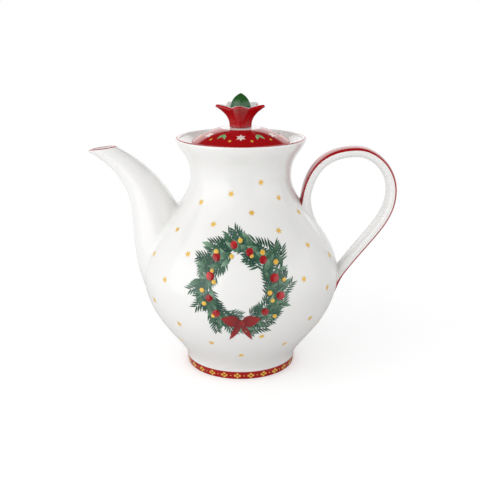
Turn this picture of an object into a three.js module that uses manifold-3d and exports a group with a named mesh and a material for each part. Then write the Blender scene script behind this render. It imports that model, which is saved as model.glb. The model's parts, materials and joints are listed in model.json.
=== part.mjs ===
// A glazed porcelain coffee pot: a pear-shaped body on a flared foot, an S-shaped spout, an ear-shaped strap
// handle, and a loose domed lid whose knob is a bud standing in a five-pointed cup.
// Millimetres, +Z up. The origin is on the pot's axis at the table, the spout points to -X, the handle to +X.
import * as THREE from 'three';
import { mergeVertices } from 'three/addons/utils/BufferGeometryUtils.js';
import Module from 'manifold-3d';

const wasm = await Module();
wasm.setup();

// Foot: a standing ring that flares up to the belly, with a recessed base inside it.
const FOOT_RADIUS = 41.0;
const FOOT_FLARE = 0.8;
const FOOT_HEIGHT = 6.2;
const FOOT_RING_WIDTH = 4.4;
const BASE_RECESS = 3.0;
const BASE_THICKNESS = 4.2;

// Body: each height is counted up from the station of the outline below it.
const BELLY_RADIUS = 73.9;
const BELLY_ABOVE_FOOT = 66.3;
const NECK_RADIUS = 37.3;
const NECK_ABOVE_BELLY = 74.4;
const MOUTH_FLARE = 10.7;
const MOUTH_ABOVE_NECK = 28.1;
const BODY_WALL = 3.4;
const LIP_THICKNESS = 3.0;
const LIP_LEAN = 37;

// Fullness of the outline's curves, as shares of the height between two stations.
const FOOT_FULLNESS = 0.2;
const LOWER_BELLY_FULLNESS = 0.52;
const UPPER_BELLY_FULLNESS = 0.406;
const LOWER_NECK_FULLNESS = 0.297;
const UPPER_NECK_FULLNESS = 0.54;
const LIP_FULLNESS = 0.3;

// Mouth: a ledge inside the rim carries the lid.
const THROAT_STEP = 0.9;
const SEAT_WIDTH = 4.0;
const SEAT_DEPTH = 6.0;
const LEDGE_THICKNESS = 4.0;
const LEDGE_SLOPE = 3.0;

// Spout: a tapering tube whose centre line is one S-shaped curve in the XZ plane.
const SPOUT_ROOT_INSET = 25.13;
const SPOUT_ROOT_LOW = 21.6;
const SPOUT_ROOT_DROP = 11.4;
const SPOUT_SWELL_INSET = 1.0;
const SPOUT_SWELL_RISE = 27.1;
const SPOUT_BEND_OFFSET = 12.7;
const SPOUT_BEND_DROP = 9.4;
const SPOUT_REACH = 32.1;
const SPOUT_END_DROP = 7.4;
const SPOUT_ROOT_RADIUS = 32.0;
const SPOUT_TIP_RADIUS = 6.4;
const SPOUT_TAPER = 1.147;
const SPOUT_WALL = 2.6;
const SPOUT_RUNOUT = 16.0;
const MOUTH_INSET = 4.0;
const MOUTH_DROP = 8.0;
const MOUTH_TILT = 7.3;
const POUR_LIP_REACH = 10.0;
const POUR_LIP_LEAN = 30.0;
const SPOUT_HOLE_WIDTH = 24.0;
const SPOUT_HOLE_HEIGHT = 34.0;
const SPOUT_HOLE_RISE = 16.0;

// Handle: a strap whose back follows three curves, from the shoulder over the crown to the belly.
const HANDLE_WIDTH = 19.6;
const HANDLE_FOOT_WIDTH = 16.7;
const HANDLE_THICKNESS = 7.6;
const HANDLE_CROWN_SHARE = 0.35;
const HANDLE_ROUNDNESS = 0.8;
const HANDLE_ROOT_BELOW_NECK = 18.9;
const HANDLE_ROOT_LEAN = 6.1;
const HANDLE_ROOT_DEPTH = 20.0;
const HANDLE_ROOT_FLARE = 10.0;
const HANDLE_ROOT_FLARE_LENGTH = 27.0;
const HANDLE_TOP_BELOW_RIM = 7.1;
const HANDLE_TOP_OFFSET = 11.7;
const HANDLE_REACH = 42.2;
const HANDLE_REACH_BELOW_NECK = 12.7;
const HANDLE_FOOT_BELOW_BELLY = 36.0;
const HANDLE_FOOT_INSET = 2.0;
const HANDLE_FOOT_LEAN = 24.8;
const HANDLE_FOOT_FLARE = 2.8;
const HANDLE_FOOT_FLARE_LENGTH = 40.0;
const HANDLE_RISE_PULLS = [29.7, 21.3];
const HANDLE_CROWN_PULLS = [15.1, 19.0];
const HANDLE_FALL_PULLS = [31.0, 61.0];

// Lid: a shallow dome with a flange that hangs in the throat and a nose that hooks under the ledge.
const LID_SIDE_GAP = 0.8;
const LID_EDGE = 3.0;
const LID_EDGE_CHAMFER = 0.45;
const LID_RISE = 10.0;
const LID_FULLNESS = 1.85;
const LID_WALL = 3.4;
const FLANGE_GAP = 0.9;
const FLANGE_WALL = 3.0;
const FLANGE_DEPTH = 12.7;
const NOSE_WIDTH = 9.0;
const NOSE_REACH = 2.5;
const NOSE_HEIGHT = 5.0;
const NOSE_DROP = 1.2;
const NOTCH_CLEARANCE = 0.7;

// Knob: a cup flaring to five points, and the bud that stands in it.
const CUP_POINTS = 5;
const CUP_TURN = 265;
const CUP_BASE_RADIUS = 8.4;
const CUP_POINT_RADIUS = 18.5;
const CUP_POINT_HEIGHT = 15.2;
const CUP_NOTCH_BASE_RADIUS = 7.9;
const CUP_NOTCH_RADIUS = 12.2;
const CUP_NOTCH_HEIGHT = 11.8;
const CUP_FLARE = 2.4;
const CUP_WALL = 2.2;
const CUP_FLOOR = 4.0;
const BUD_RADIUS = 7.3;
const BUD_HEIGHT = 19.8;
const BUD_BASE_SHARE = 0.55;
const BUD_LOW_FULLNESS = 1.25;
const BUD_LOW_PULL = 0.3;
const BUD_HIGH_FULLNESS = 1.2;
const BUD_HIGH_PULL = 0.82;
const BUD_RIDGE = 0.06;
const BUD_TIP_SHARE = 0.03;
const BOSS_MARGIN = 0.8;

// Gap of the slip joints between pieces that are stuck together, and between the lid and its seat.
const SLIP_GAP = 0.3;

// Facets round a turned piece, a tube, the handle's strap and one point of the cup.
const TURNED_SIDES = 48;
const TUBE_SIDES = 28;
const STRAP_SIDES = 16;
const POINT_SIDES = 6;

// Stations that follow from the sizes.
const bellyZ = FOOT_HEIGHT + BELLY_ABOVE_FOOT;
const neckZ = bellyZ + NECK_ABOVE_BELLY;
const rimZ = neckZ + MOUTH_ABOVE_NECK;
const footTopRadius = FOOT_RADIUS + FOOT_FLARE;
const rimRadius = NECK_RADIUS + MOUTH_FLARE;
const throatRadius = NECK_RADIUS - BODY_WALL - THROAT_STEP;
const seatRadius = throatRadius + SEAT_WIDTH;
const seatZ = rimZ - SEAT_DEPTH;
const ledgeZ = seatZ - LEDGE_THICKNESS;
const baseZ = BASE_RECESS + BASE_THICKNESS;
const lidRadius = seatRadius - LID_SIDE_GAP;
const lidZ = seatZ + SLIP_GAP;
const lidTopZ = lidZ + LID_EDGE + LID_RISE;
const flangeRadius = throatRadius - FLANGE_GAP;
const cupZ = lidTopZ + SLIP_GAP;
const budZ = cupZ + CUP_FLOOR + SLIP_GAP;

const FULL_TURN = 360;
const rad = THREE.MathUtils.degToRad;
const at = (x, y) => new THREE.Vector2(x, y);
const heading = (degrees) => at(Math.cos(rad(degrees)), Math.sin(rad(degrees)));

// A smooth curve between two points with their two pull points.
function curve(start, startPull, endPull, end) {
  return new THREE.CubicBezierCurve(start, startPull, endPull, end);
}

// Points along curves that follow one another, each shared end written once.
function chain(curves, steps) {
  return curves.flatMap((part, i) => part.getPoints(steps[i]).slice(i === 0 ? 0 : 1));
}

// Points of an arc about a centre, from one angle to another in degrees.
function arc(centre, radius, from, to, steps) {
  return Array.from({ length: steps + 1 }, (_, i) =>
    heading(from + ((to - from) * i) / steps).multiplyScalar(radius).add(centre));
}

// A rising outline moved outwards by a distance, or inwards by a negative one.
function offsetOutline(points, distance) {
  return points.map((point, i) => {
    const along = points[Math.min(i + 1, points.length - 1)].clone().sub(points[Math.max(i - 1, 0)]).normalize();
    return at(point.x + along.y * distance, point.y - along.x * distance);
  });
}

// Radius of a rising outline at a height.
function radiusAt(points, z) {
  const i = Math.max(1, points.findIndex((point) => point.y >= z));
  const [low, high] = [points[i - 1], points[i]];
  return THREE.MathUtils.mapLinear(z, low.y, high.y, low.x, high.x);
}

// The closed solid of a geometry, with its shared points merged and its faces outwards.
function solidOf(geometry) {
  const bare = geometry.clone();
  bare.deleteAttribute('normal');
  bare.deleteAttribute('uv');
  const merged = mergeVertices(bare, 1e-4);
  const corners = Array.from(merged.index.array);
  const triangles = [];
  for (let i = 0; i < corners.length; i += 3) {
    const [a, b, c] = corners.slice(i, i + 3);
    if (a !== b && b !== c && c !== a) triangles.push(a, b, c);
  }
  return new wasm.Manifold(new wasm.Mesh({
    numProp: 3,
    vertProperties: new Float32Array(merged.attributes.position.array),
    triVerts: new Uint32Array(triangles),
  }));
}

// A named mesh of a solid in its own glaze.
function piece(name, solid, color, roughness) {
  const { vertProperties, triVerts } = solid.getMesh();
  const geometry = new THREE.BufferGeometry();
  geometry.setAttribute('position', new THREE.BufferAttribute(new Float32Array(vertProperties), 3));
  geometry.setIndex(new THREE.BufferAttribute(new Uint32Array(triVerts), 1));
  geometry.computeVertexNormals();
  const mesh = new THREE.Mesh(geometry, new THREE.MeshStandardMaterial({ color, roughness, metalness: 0 }));
  mesh.name = name;
  return mesh;
}

// A profile of radius and height turned about the Z axis. It runs upwards on the outside of the material.
function turned(points) {
  return solidOf(new THREE.LatheGeometry(points, TURNED_SIDES).rotateX(Math.PI / 2));
}

// A skin over rings with equal point counts, closed by a fan at either end.
function loft(rings) {
  const count = rings[0].length;
  const middle = (ring) => ring.reduce((sum, p) => sum.add(p), new THREE.Vector3()).divideScalar(count);
  const points = [...rings.flat(), middle(rings[0]), middle(rings.at(-1))];
  const [startMiddle, endMiddle] = [points.length - 2, points.length - 1];
  const lastRing = (rings.length - 1) * count;
  const index = [];
  for (let j = 0; j < count; j += 1) {
    const next = (j + 1) % count;
    for (let i = 0; i < rings.length - 1; i += 1) {
      const [low, high] = [i * count, (i + 1) * count];
      index.push(low + j, low + next, high + next, low + j, high + next, high + j);
    }
    index.push(startMiddle, next, j, endMiddle, lastRing + j, lastRing + next);
  }
  const geometry = new THREE.BufferGeometry().setFromPoints(points);
  geometry.setIndex(index);
  return solidOf(geometry);
}

// A box between two corners.
function block(low, high) {
  const size = high.clone().sub(low);
  const centre = low.clone().add(high).divideScalar(2);
  return new THREE.BoxGeometry(size.x, size.y, size.z).translate(centre.x, centre.y, centre.z);
}

// Outline of the pot, from the top of the foot up to where the lip begins to round over.
const lipCentre = at(rimRadius - LIP_THICKNESS / 2, rimZ - LIP_THICKNESS / 2);
const lipStart = heading(-LIP_LEAN).multiplyScalar(LIP_THICKNESS / 2).add(lipCentre);
const flareRun = lipStart.x - NECK_RADIUS;
const flareRise = lipStart.y - neckZ;
const outline = chain([
  curve(
    at(footTopRadius, FOOT_HEIGHT),
    at(footTopRadius, FOOT_HEIGHT + FOOT_FULLNESS * BELLY_ABOVE_FOOT),
    at(BELLY_RADIUS, bellyZ - LOWER_BELLY_FULLNESS * BELLY_ABOVE_FOOT),
    at(BELLY_RADIUS, bellyZ),
  ),
  curve(
    at(BELLY_RADIUS, bellyZ),
    at(BELLY_RADIUS, bellyZ + UPPER_BELLY_FULLNESS * NECK_ABOVE_BELLY),
    at(NECK_RADIUS, neckZ - LOWER_NECK_FULLNESS * NECK_ABOVE_BELLY),
    at(NECK_RADIUS, neckZ),
  ),
  curve(
    at(NECK_RADIUS, neckZ),
    at(NECK_RADIUS, neckZ + UPPER_NECK_FULLNESS * flareRise),
    at(lipStart.x - LIP_FULLNESS * flareRun, lipStart.y - LIP_FULLNESS * flareRise),
    lipStart,
  ),
], [9, 10, 6]);

// The pot's outside as a full solid, used to trim what is stuck onto it.
const trimOutline = offsetOutline(outline, SLIP_GAP);
const trimmer = turned([
  at(0, -SLIP_GAP),
  at(FOOT_RADIUS, -SLIP_GAP),
  ...trimOutline,
  at(0, rimZ),
]);

// Body with its foot, lip, lid ledge, the hole behind the spout and the notch for the lid's nose.
function potBody() {
  const inside = offsetOutline(outline, -BODY_WALL);
  const ledgeFootZ = ledgeZ - LEDGE_SLOPE;
  const wall = inside.filter((point) => point.y > baseZ + BODY_WALL && point.y < ledgeFootZ);
  const shell = turned([
    at(0, BASE_RECESS),
    at(FOOT_RADIUS - FOOT_RING_WIDTH - BASE_RECESS / 2, BASE_RECESS),
    at(FOOT_RADIUS - FOOT_RING_WIDTH, 0),
    at(FOOT_RADIUS, 0),
    ...outline.slice(0, -1),
    ...arc(lipCentre, LIP_THICKNESS / 2, -LIP_LEAN, 180, 6),
    at(seatRadius, seatZ),
    at(throatRadius, seatZ),
    at(throatRadius, ledgeZ),
    at(radiusAt(inside, ledgeFootZ), ledgeFootZ),
    ...wall.reverse(),
    at(radiusAt(inside, baseZ) - BODY_WALL, baseZ),
    at(0, baseZ),
  ]);
  const holeZ = bellyZ + SPOUT_HOLE_RISE;
  const holeLength = BELLY_RADIUS;
  const hole = new THREE.CylinderGeometry(0.5, 0.5, holeLength, TUBE_SIDES)
    .rotateZ(Math.PI / 2)
    .scale(1, SPOUT_HOLE_WIDTH, SPOUT_HOLE_HEIGHT)
    .translate(-BELLY_RADIUS, 0, holeZ);
  const notchHalf = NOSE_WIDTH / 2 + NOTCH_CLEARANCE;
  const notch = block(
    new THREE.Vector3(-notchHalf, throatRadius - SEAT_WIDTH, ledgeFootZ),
    new THREE.Vector3(notchHalf, flangeRadius + SLIP_GAP + NOSE_REACH + NOTCH_CLEARANCE, rimZ),
  );
  return shell.subtract(solidOf(hole)).subtract(solidOf(notch));
}

// Stations of the spout's centre line, run on straight past its tip, with the tube's radius at each.
function spoutStations() {
  const rootZ = bellyZ - SPOUT_ROOT_DROP;
  const line = curve(
    at(SPOUT_ROOT_INSET - radiusAt(outline, rootZ - SPOUT_ROOT_LOW), rootZ),
    at(SPOUT_SWELL_INSET - BELLY_RADIUS, bellyZ + SPOUT_SWELL_RISE),
    at(-NECK_RADIUS - SPOUT_BEND_OFFSET, neckZ - SPOUT_BEND_DROP),
    at(-BELLY_RADIUS - SPOUT_REACH, rimZ - SPOUT_END_DROP),
  );
  const steps = 22;
  const stations = Array.from({ length: steps + 1 }, (_, i) => {
    const t = i / steps;
    const taper = (1 - t) ** SPOUT_TAPER;
    const radius = SPOUT_TIP_RADIUS + (SPOUT_ROOT_RADIUS - SPOUT_TIP_RADIUS) * taper;
    return { place: line.getPoint(t), along: line.getTangent(t), radius };
  });
  const end = stations.at(-1);
  stations.push({ ...end, place: end.along.clone().multiplyScalar(SPOUT_RUNOUT).add(end.place) });
  return stations;
}

// A round tube about the spout's stations, smaller than the spout by a wall.
function spoutTube(stations, wall) {
  return loft(stations.map(({ place, along, radius }) =>
    Array.from({ length: TUBE_SIDES }, (_, j) => {
      const round = heading((FULL_TURN * j) / TUBE_SIDES).multiplyScalar(radius - wall);
      return new THREE.Vector3(place.x - along.y * round.x, -round.y, place.y + along.x * round.x);
    })));
}

// Spout, hollow from the body's wall to a mouth that is cut nearly level, with a blunt lip that leans out.
function spout() {
  const stations = spoutStations();
  const span = BELLY_RADIUS + SPOUT_REACH + SPOUT_RUNOUT;
  const endX = -BELLY_RADIUS - SPOUT_REACH;
  const mouthZ = rimZ - MOUTH_DROP;
  const above = block(new THREE.Vector3(-span, -span, 0), new THREE.Vector3(span, span, span))
    .rotateY(rad(-MOUTH_TILT))
    .translate(endX + MOUTH_INSET, 0, mouthZ);
  const beyond = block(new THREE.Vector3(-span, -span, -SPOUT_RUNOUT), new THREE.Vector3(0, span, span))
    .rotateY(rad(-POUR_LIP_LEAN))
    .translate(endX - POUR_LIP_REACH, 0, mouthZ);
  return spoutTube(stations, 0)
    .subtract(spoutTube(stations, SPOUT_WALL))
    .subtract(solidOf(above))
    .subtract(solidOf(beyond))
    .subtract(trimmer);
}

// Back of the handle: into the shoulder, over the crown, out to its widest and down into the belly.
function handleBack() {
  const rootZ = neckZ - HANDLE_ROOT_BELOW_NECK;
  const root = at(radiusAt(outline, rootZ), rootZ);
  const rootWay = heading(90 - HANDLE_ROOT_LEAN);
  const top = at(BELLY_RADIUS + HANDLE_TOP_OFFSET, rimZ - HANDLE_TOP_BELOW_RIM);
  const far = at(BELLY_RADIUS + HANDLE_REACH, neckZ - HANDLE_REACH_BELOW_NECK);
  const footZ = bellyZ - HANDLE_FOOT_BELOW_BELLY;
  const foot = at(radiusAt(outline, footZ) - HANDLE_FOOT_INSET, footZ);
  const footWay = heading(90 - HANDLE_FOOT_LEAN);
  const [rootPull, topPullIn] = HANDLE_RISE_PULLS;
  const [topPullOut, farPullIn] = HANDLE_CROWN_PULLS;
  const [farPullOut, footPull] = HANDLE_FALL_PULLS;
  const buried = rootWay.clone().multiplyScalar(-HANDLE_ROOT_DEPTH).add(root);
  return [
    new THREE.LineCurve(buried, root),
    curve(root, rootWay.multiplyScalar(rootPull).add(root), at(top.x - topPullIn, top.y), top),
    curve(top, at(top.x + topPullOut, top.y), at(far.x, far.y + farPullIn), far),
    curve(far, at(far.x, far.y - farPullOut), footWay.multiplyScalar(footPull).add(foot), foot),
  ];
}

// A rounded power for a section that is between an oval and a box.
const squared = (value) => Math.sign(value) * Math.abs(value) ** HANDLE_ROUNDNESS;

// Strap handle, flared inwards on the shoulder and outwards where it runs into the belly.
function handle() {
  const curves = handleBack();
  const steps = [4, 10, 9, 14];
  const stations = curves.flatMap((part, i) =>
    Array.from({ length: steps[i] + (i === curves.length - 1 ? 1 : 0) }, (_, j) => ({
      place: part.getPoint(j / steps[i]),
      along: part.getTangent(j / steps[i]),
    })));
  const spans = stations.map(({ place }, i) => (i === 0 ? 0 : place.distanceTo(stations[i - 1].place)));
  const whole = spans.reduce((sum, step) => sum + step, 0);
  let run = 0;
  const rings = stations.map(({ place, along }, i) => {
    run += spans[i];
    const flare = Math.max(0, 1 - run / HANDLE_ROOT_FLARE_LENGTH) ** 2;
    const left = Math.min(1, (whole - run) / HANDLE_FOOT_FLARE_LENGTH);
    const footFlare = Math.sin(Math.PI * left) ** 2;
    const depth = HANDLE_THICKNESS + HANDLE_ROOT_FLARE * flare;
    const width = THREE.MathUtils.lerp(HANDLE_WIDTH, HANDLE_FOOT_WIDTH, i / (stations.length - 1));
    const crown = HANDLE_THICKNESS * HANDLE_CROWN_SHARE;
    return Array.from({ length: STRAP_SIDES }, (_, j) => {
      const round = heading((FULL_TURN * j) / STRAP_SIDES);
      const reach = round.y > 0 ? crown + HANDLE_FOOT_FLARE * footFlare : depth - crown;
      const inward = crown - squared(round.y) * reach;
      const across = (squared(round.x) * width) / 2;
      return new THREE.Vector3(place.x + along.y * inward, across, place.y - along.x * inward);
    });
  });
  return loft(rings).subtract(trimmer);
}

// Lid: a dome with a flat boss for the knob, an edge that lies on the ledge, and a flange in the throat.
function lid() {
  const edgeRound = LID_EDGE / 2;
  const domeFoot = lidRadius - LID_EDGE_CHAMFER;
  const bossRadius = CUP_BASE_RADIUS + BOSS_MARGIN;
  const domeShare = (r) => Math.max(0, (r - bossRadius) / (lidRadius - bossRadius));
  const domeZ = (r) => lidTopZ - LID_RISE * domeShare(r) ** LID_FULLNESS;
  const flangeInside = flangeRadius - FLANGE_WALL;
  const steps = 9;
  const radii = Array.from({ length: steps + 1 }, (_, i) => domeFoot + ((bossRadius - domeFoot) * i) / steps);
  const dome = radii.map((r) => at(r, domeZ(r)));
  const hollow = radii.filter((r) => r < flangeInside).map((r) => at(r, domeZ(r) - LID_WALL));
  return turned([
    at(0, lidTopZ - LID_WALL),
    ...hollow.reverse(),
    at(flangeInside, domeZ(flangeInside) - LID_WALL),
    at(flangeInside, lidZ - FLANGE_DEPTH),
    at(flangeRadius, lidZ - FLANGE_DEPTH),
    at(flangeRadius, lidZ),
    at(domeFoot, lidZ),
    at(lidRadius, lidZ + edgeRound),
    ...dome,
    at(0, lidTopZ),
  ]);
}

// Nose on the flange, which hooks under the ledge when the lid is turned away from the notch.
function lidNose() {
  const topZ = ledgeZ - NOSE_DROP;
  const from = flangeRadius - FLANGE_WALL;
  const full = block(
    new THREE.Vector3(-NOSE_WIDTH / 2, from, topZ - NOSE_HEIGHT),
    new THREE.Vector3(NOSE_WIDTH / 2, flangeRadius + SLIP_GAP + NOSE_REACH, topZ),
  );
  const flange = turned([
    at(0, ledgeZ - FLANGE_DEPTH),
    at(flangeRadius + SLIP_GAP, ledgeZ - FLANGE_DEPTH),
    at(flangeRadius + SLIP_GAP, rimZ),
    at(0, rimZ),
  ]);
  return solidOf(full).subtract(flange);
}

// A ring of the cup between a point radius and a notch radius, with straight sides from point to notch.
function starRing(pointRadius, notchRadius, pointZ, notchZ) {
  const half = 180 / CUP_POINTS;
  const count = CUP_POINTS * POINT_SIDES;
  return Array.from({ length: count }, (_, j) => {
    const turn = (FULL_TURN * j) / count;
    const fromPoint = Math.abs(((turn + half) % (2 * half)) - half);
    const share = fromPoint / half;
    const side = pointRadius * Math.sin(rad(fromPoint)) + notchRadius * Math.sin(rad(half - fromPoint));
    const radius = (pointRadius * notchRadius * Math.sin(rad(half))) / side;
    const way = heading(CUP_TURN + turn).multiplyScalar(radius);
    return new THREE.Vector3(way.x, way.y, cupZ + THREE.MathUtils.lerp(pointZ, notchZ, share));
  });
}

// Rings of the cup's outside from its base up to the points, or of its inside, a wall smaller.
function cupRings(wall, fromShare) {
  const steps = 7;
  return Array.from({ length: steps + 1 }, (_, i) => {
    const share = fromShare + ((1 - fromShare) * i) / steps;
    const flare = share ** CUP_FLARE;
    return starRing(
      THREE.MathUtils.lerp(CUP_BASE_RADIUS, CUP_POINT_RADIUS, flare) - wall,
      THREE.MathUtils.lerp(CUP_NOTCH_BASE_RADIUS, CUP_NOTCH_RADIUS, flare) - wall,
      CUP_POINT_HEIGHT * share,
      CUP_NOTCH_HEIGHT * share,
    );
  });
}

// Cup of the knob, open upwards round the bud.
function knobCup() {
  const floorShare = CUP_FLOOR / CUP_NOTCH_HEIGHT;
  const inside = cupRings(CUP_WALL, floorShare).reverse();
  const floor = inside.at(-1).map((point) => new THREE.Vector3(point.x, point.y, cupZ + CUP_FLOOR));
  return loft([...cupRings(0, 0), ...inside.slice(0, -1), floor]);
}

// Bud: a pointed egg with a soft ridge over each point of the cup.
function knobBud() {
  const shape = curve(
    at(BUD_BASE_SHARE, 0),
    at(BUD_LOW_FULLNESS, BUD_LOW_PULL),
    at(BUD_HIGH_FULLNESS, BUD_HIGH_PULL),
    at(0, 1),
  );
  const count = CUP_POINTS * 4;
  const steps = 9;
  const rings = Array.from({ length: steps + 1 }, (_, i) => {
    const { x, y: height } = shape.getPoint(i / steps);
    const share = Math.max(x, BUD_TIP_SHARE);
    return Array.from({ length: count }, (_unused, j) => {
      const ridge = 1 + BUD_RIDGE * Math.cos(rad((FULL_TURN * j * CUP_POINTS) / count));
      const way = heading(CUP_TURN + (FULL_TURN * j) / count).multiplyScalar(BUD_RADIUS * share * ridge);
      return new THREE.Vector3(way.x, way.y, budZ + BUD_HEIGHT * height);
    });
  });
  return loft(rings);
}

const WHITE_GLAZE = 0xf4f3f0;
const RED_GLAZE = 0xa80d12;
const GREEN_GLAZE = 0x1f5a34;

const pot = new THREE.Group();
pot.add(
  piece('pot_body', potBody(), WHITE_GLAZE, 0.1),
  piece('spout', spout(), WHITE_GLAZE, 0.1),
  piece('handle', handle(), WHITE_GLAZE, 0.1),
  piece('lid', lid(), RED_GLAZE, 0.1),
  piece('lid_nose', lidNose(), WHITE_GLAZE, 0.15),
  piece('knob_cup', knobCup(), RED_GLAZE, 0.1),
  piece('knob_bud', knobBud(), GREEN_GLAZE, 0.12),
);

export default pot;
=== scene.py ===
"""A porcelain coffee pot with a red and gold festive decoration, built on its CAD frame.

The body, spout, handle and lid are smooth glazed forms. Bands of colour are faces of their own, and the
printed motifs are thin closed patches that Geometry Nodes lay onto the glaze.
"""

import json
import logging
import math
from collections.abc import Sequence
from dataclasses import dataclass, field
from enum import Enum
from typing import NamedTuple

import bpy
import numpy as np
from bpy.types import Material, Node, NodeSocket, NodeTree, Object
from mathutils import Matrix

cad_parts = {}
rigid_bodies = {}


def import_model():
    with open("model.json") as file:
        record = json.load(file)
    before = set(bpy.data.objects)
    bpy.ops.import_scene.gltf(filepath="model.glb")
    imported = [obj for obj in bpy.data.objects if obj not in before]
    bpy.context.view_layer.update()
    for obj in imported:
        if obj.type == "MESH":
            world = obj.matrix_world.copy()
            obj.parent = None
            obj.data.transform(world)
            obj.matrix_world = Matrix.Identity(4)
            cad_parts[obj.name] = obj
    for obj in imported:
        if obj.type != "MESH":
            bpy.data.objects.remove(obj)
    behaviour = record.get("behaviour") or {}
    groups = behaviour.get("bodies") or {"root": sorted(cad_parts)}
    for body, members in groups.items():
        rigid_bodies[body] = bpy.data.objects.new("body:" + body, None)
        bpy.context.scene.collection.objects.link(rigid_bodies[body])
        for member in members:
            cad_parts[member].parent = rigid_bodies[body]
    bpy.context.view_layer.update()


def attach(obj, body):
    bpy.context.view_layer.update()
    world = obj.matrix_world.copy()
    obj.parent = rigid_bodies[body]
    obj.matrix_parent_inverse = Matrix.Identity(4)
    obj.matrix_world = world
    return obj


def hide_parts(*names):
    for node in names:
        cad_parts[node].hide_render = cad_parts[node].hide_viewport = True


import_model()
LOG = logging.getLogger("coffee_pot")

MM = 0.001
FULL_TURN = 2 * math.pi
QUARTER_TURN = math.pi / 2
GOLDEN_TURN = math.pi * (3 - math.sqrt(5))
SHARP_ANGLE = math.radians(42)
TINY = 1e-9
PATTERN = "pattern_"
WHITE = (1, 1, 1, 1)

SHADING = "ShaderNodeTree"
COLOUR = "NodeSocketColor"
NUMBER = "NodeSocketFloat"
WHOLE = "NodeSocketInt"
VECTOR = "NodeSocketVector"
GEOMETRY = "NodeSocketGeometry"
OBJECT = "NodeSocketObject"

Colour = tuple[float, float, float]
Point2 = tuple[float, float]
Point3 = tuple[float, float, float]
Number = NodeSocket | float
Values = np.ndarray | float
Sockets = bpy.types.bpy_prop_collection


class Body(Enum):
    """The moving bodies of the pot."""

    POT = "pot"
    LID = "lid"


class Slot(Enum):
    """The finishes that the record knows."""

    WHITE = "white_glaze"
    RED = "red_glaze"
    GREEN = "green_glaze"


class Ground(Enum):
    """The way motifs are laid on: onto the front, down onto the lid, or round the pot."""

    FRONT = "front"
    TOP = "top"
    ROUND = "round"


@dataclass(frozen=True)
class Nodes:
    """A node tree, with short ways to add what it needs."""

    tree: NodeTree

    @classmethod
    def group(cls, name: str, kind: str, inputs: dict[str, str], outputs: dict[str, str]) -> "Nodes":
        """Starts a node group with named sockets.

        Args:
            name: Name of the group.
            kind: Type of its tree.
            inputs: Socket types by input name.
            outputs: Socket types by output name.

        Returns:
            The group's nodes.
        """
        tree = bpy.data.node_groups.new(name, kind)
        for way, sockets in (("INPUT", inputs), ("OUTPUT", outputs)):
            for label, socket in sockets.items():
                tree.interface.new_socket(label, in_out=way, socket_type=socket)
        return cls(tree)

    def feed(self, made: Node, inputs: dict) -> None:
        """Sets a node's inputs.

        Args:
            made: The node.
            inputs: Values or sockets by the input's name or number.
        """
        for key, value in inputs.items():
            if isinstance(value, NodeSocket):
                self.tree.links.new(value, made.inputs[key])
            else:
                made.inputs[key].default_value = value

    def add(self, kind: str, inputs: dict | None = None, **settings) -> Node:
        """Adds a node.

        Args:
            kind: The node's type.
            inputs: Values or sockets by the input's name or number.
            settings: Properties of the node.

        Returns:
            The new node.
        """
        made = self.tree.nodes.new(kind)
        for name, value in settings.items():
            setattr(made, name, value)
        self.feed(made, inputs or {})
        return made

    def first(self, kind: str, inputs: dict | None = None, **settings) -> NodeSocket:
        """Adds a node and gives its first output."""
        return self.add(kind, inputs, **settings).outputs[0]

    def given(self) -> Sockets:
        """Gives the sockets of the group's inputs."""
        return self.add("NodeGroupInput").outputs

    def place(self) -> NodeSocket:
        """Gives the place on a piece."""
        return self.add("ShaderNodeTexCoord").outputs["Object"]

    def maths(self, operation: str, *values: Number) -> NodeSocket:
        """Adds a sum of numbers."""
        return self.first("ShaderNodeMath", dict(enumerate(values)), operation=operation)

    def vector(self, x: Number, y: Number, z: Number) -> NodeSocket:
        """Makes a vector of three numbers."""
        return self.first("ShaderNodeCombineXYZ", {0: x, 1: y, 2: z})

    def parts(self, whole: NodeSocket) -> Sockets:
        """Splits a vector into its three numbers."""
        return self.add("ShaderNodeSeparateXYZ", {0: whole}).outputs

    def length(self, way: NodeSocket) -> NodeSocket:
        """Measures a vector."""
        return self.add("ShaderNodeVectorMath", {0: way}, operation="LENGTH").outputs["Value"]

    def scaled(self, way: NodeSocket, size: Number) -> NodeSocket:
        """Makes a vector longer or shorter."""
        return self.first("ShaderNodeVectorMath", {0: way, "Scale": size}, operation="SCALE")

    def moved(self, place: NodeSocket, way: NodeSocket) -> NodeSocket:
        """Moves a place by a vector."""
        return self.first("ShaderNodeVectorMath", {0: place, 1: way}, operation="ADD")

    def step_up(self, value: NodeSocket, span: Point2) -> NodeSocket:
        """Makes a soft step from 0 to 1 over a span of values."""
        ends = {"Value": value, "From Min": span[0], "From Max": span[1]}
        return self.first("ShaderNodeMapRange", ends, interpolation_type="SMOOTHSTEP")

    def blend(self, share: NodeSocket, start: NodeSocket, end: NodeSocket) -> NodeSocket:
        """Blends two colours by a share, through the node's sockets for colours."""
        return self.add("ShaderNodeMix", {0: share, 6: start, 7: end}, data_type="RGBA").outputs[2]


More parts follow.
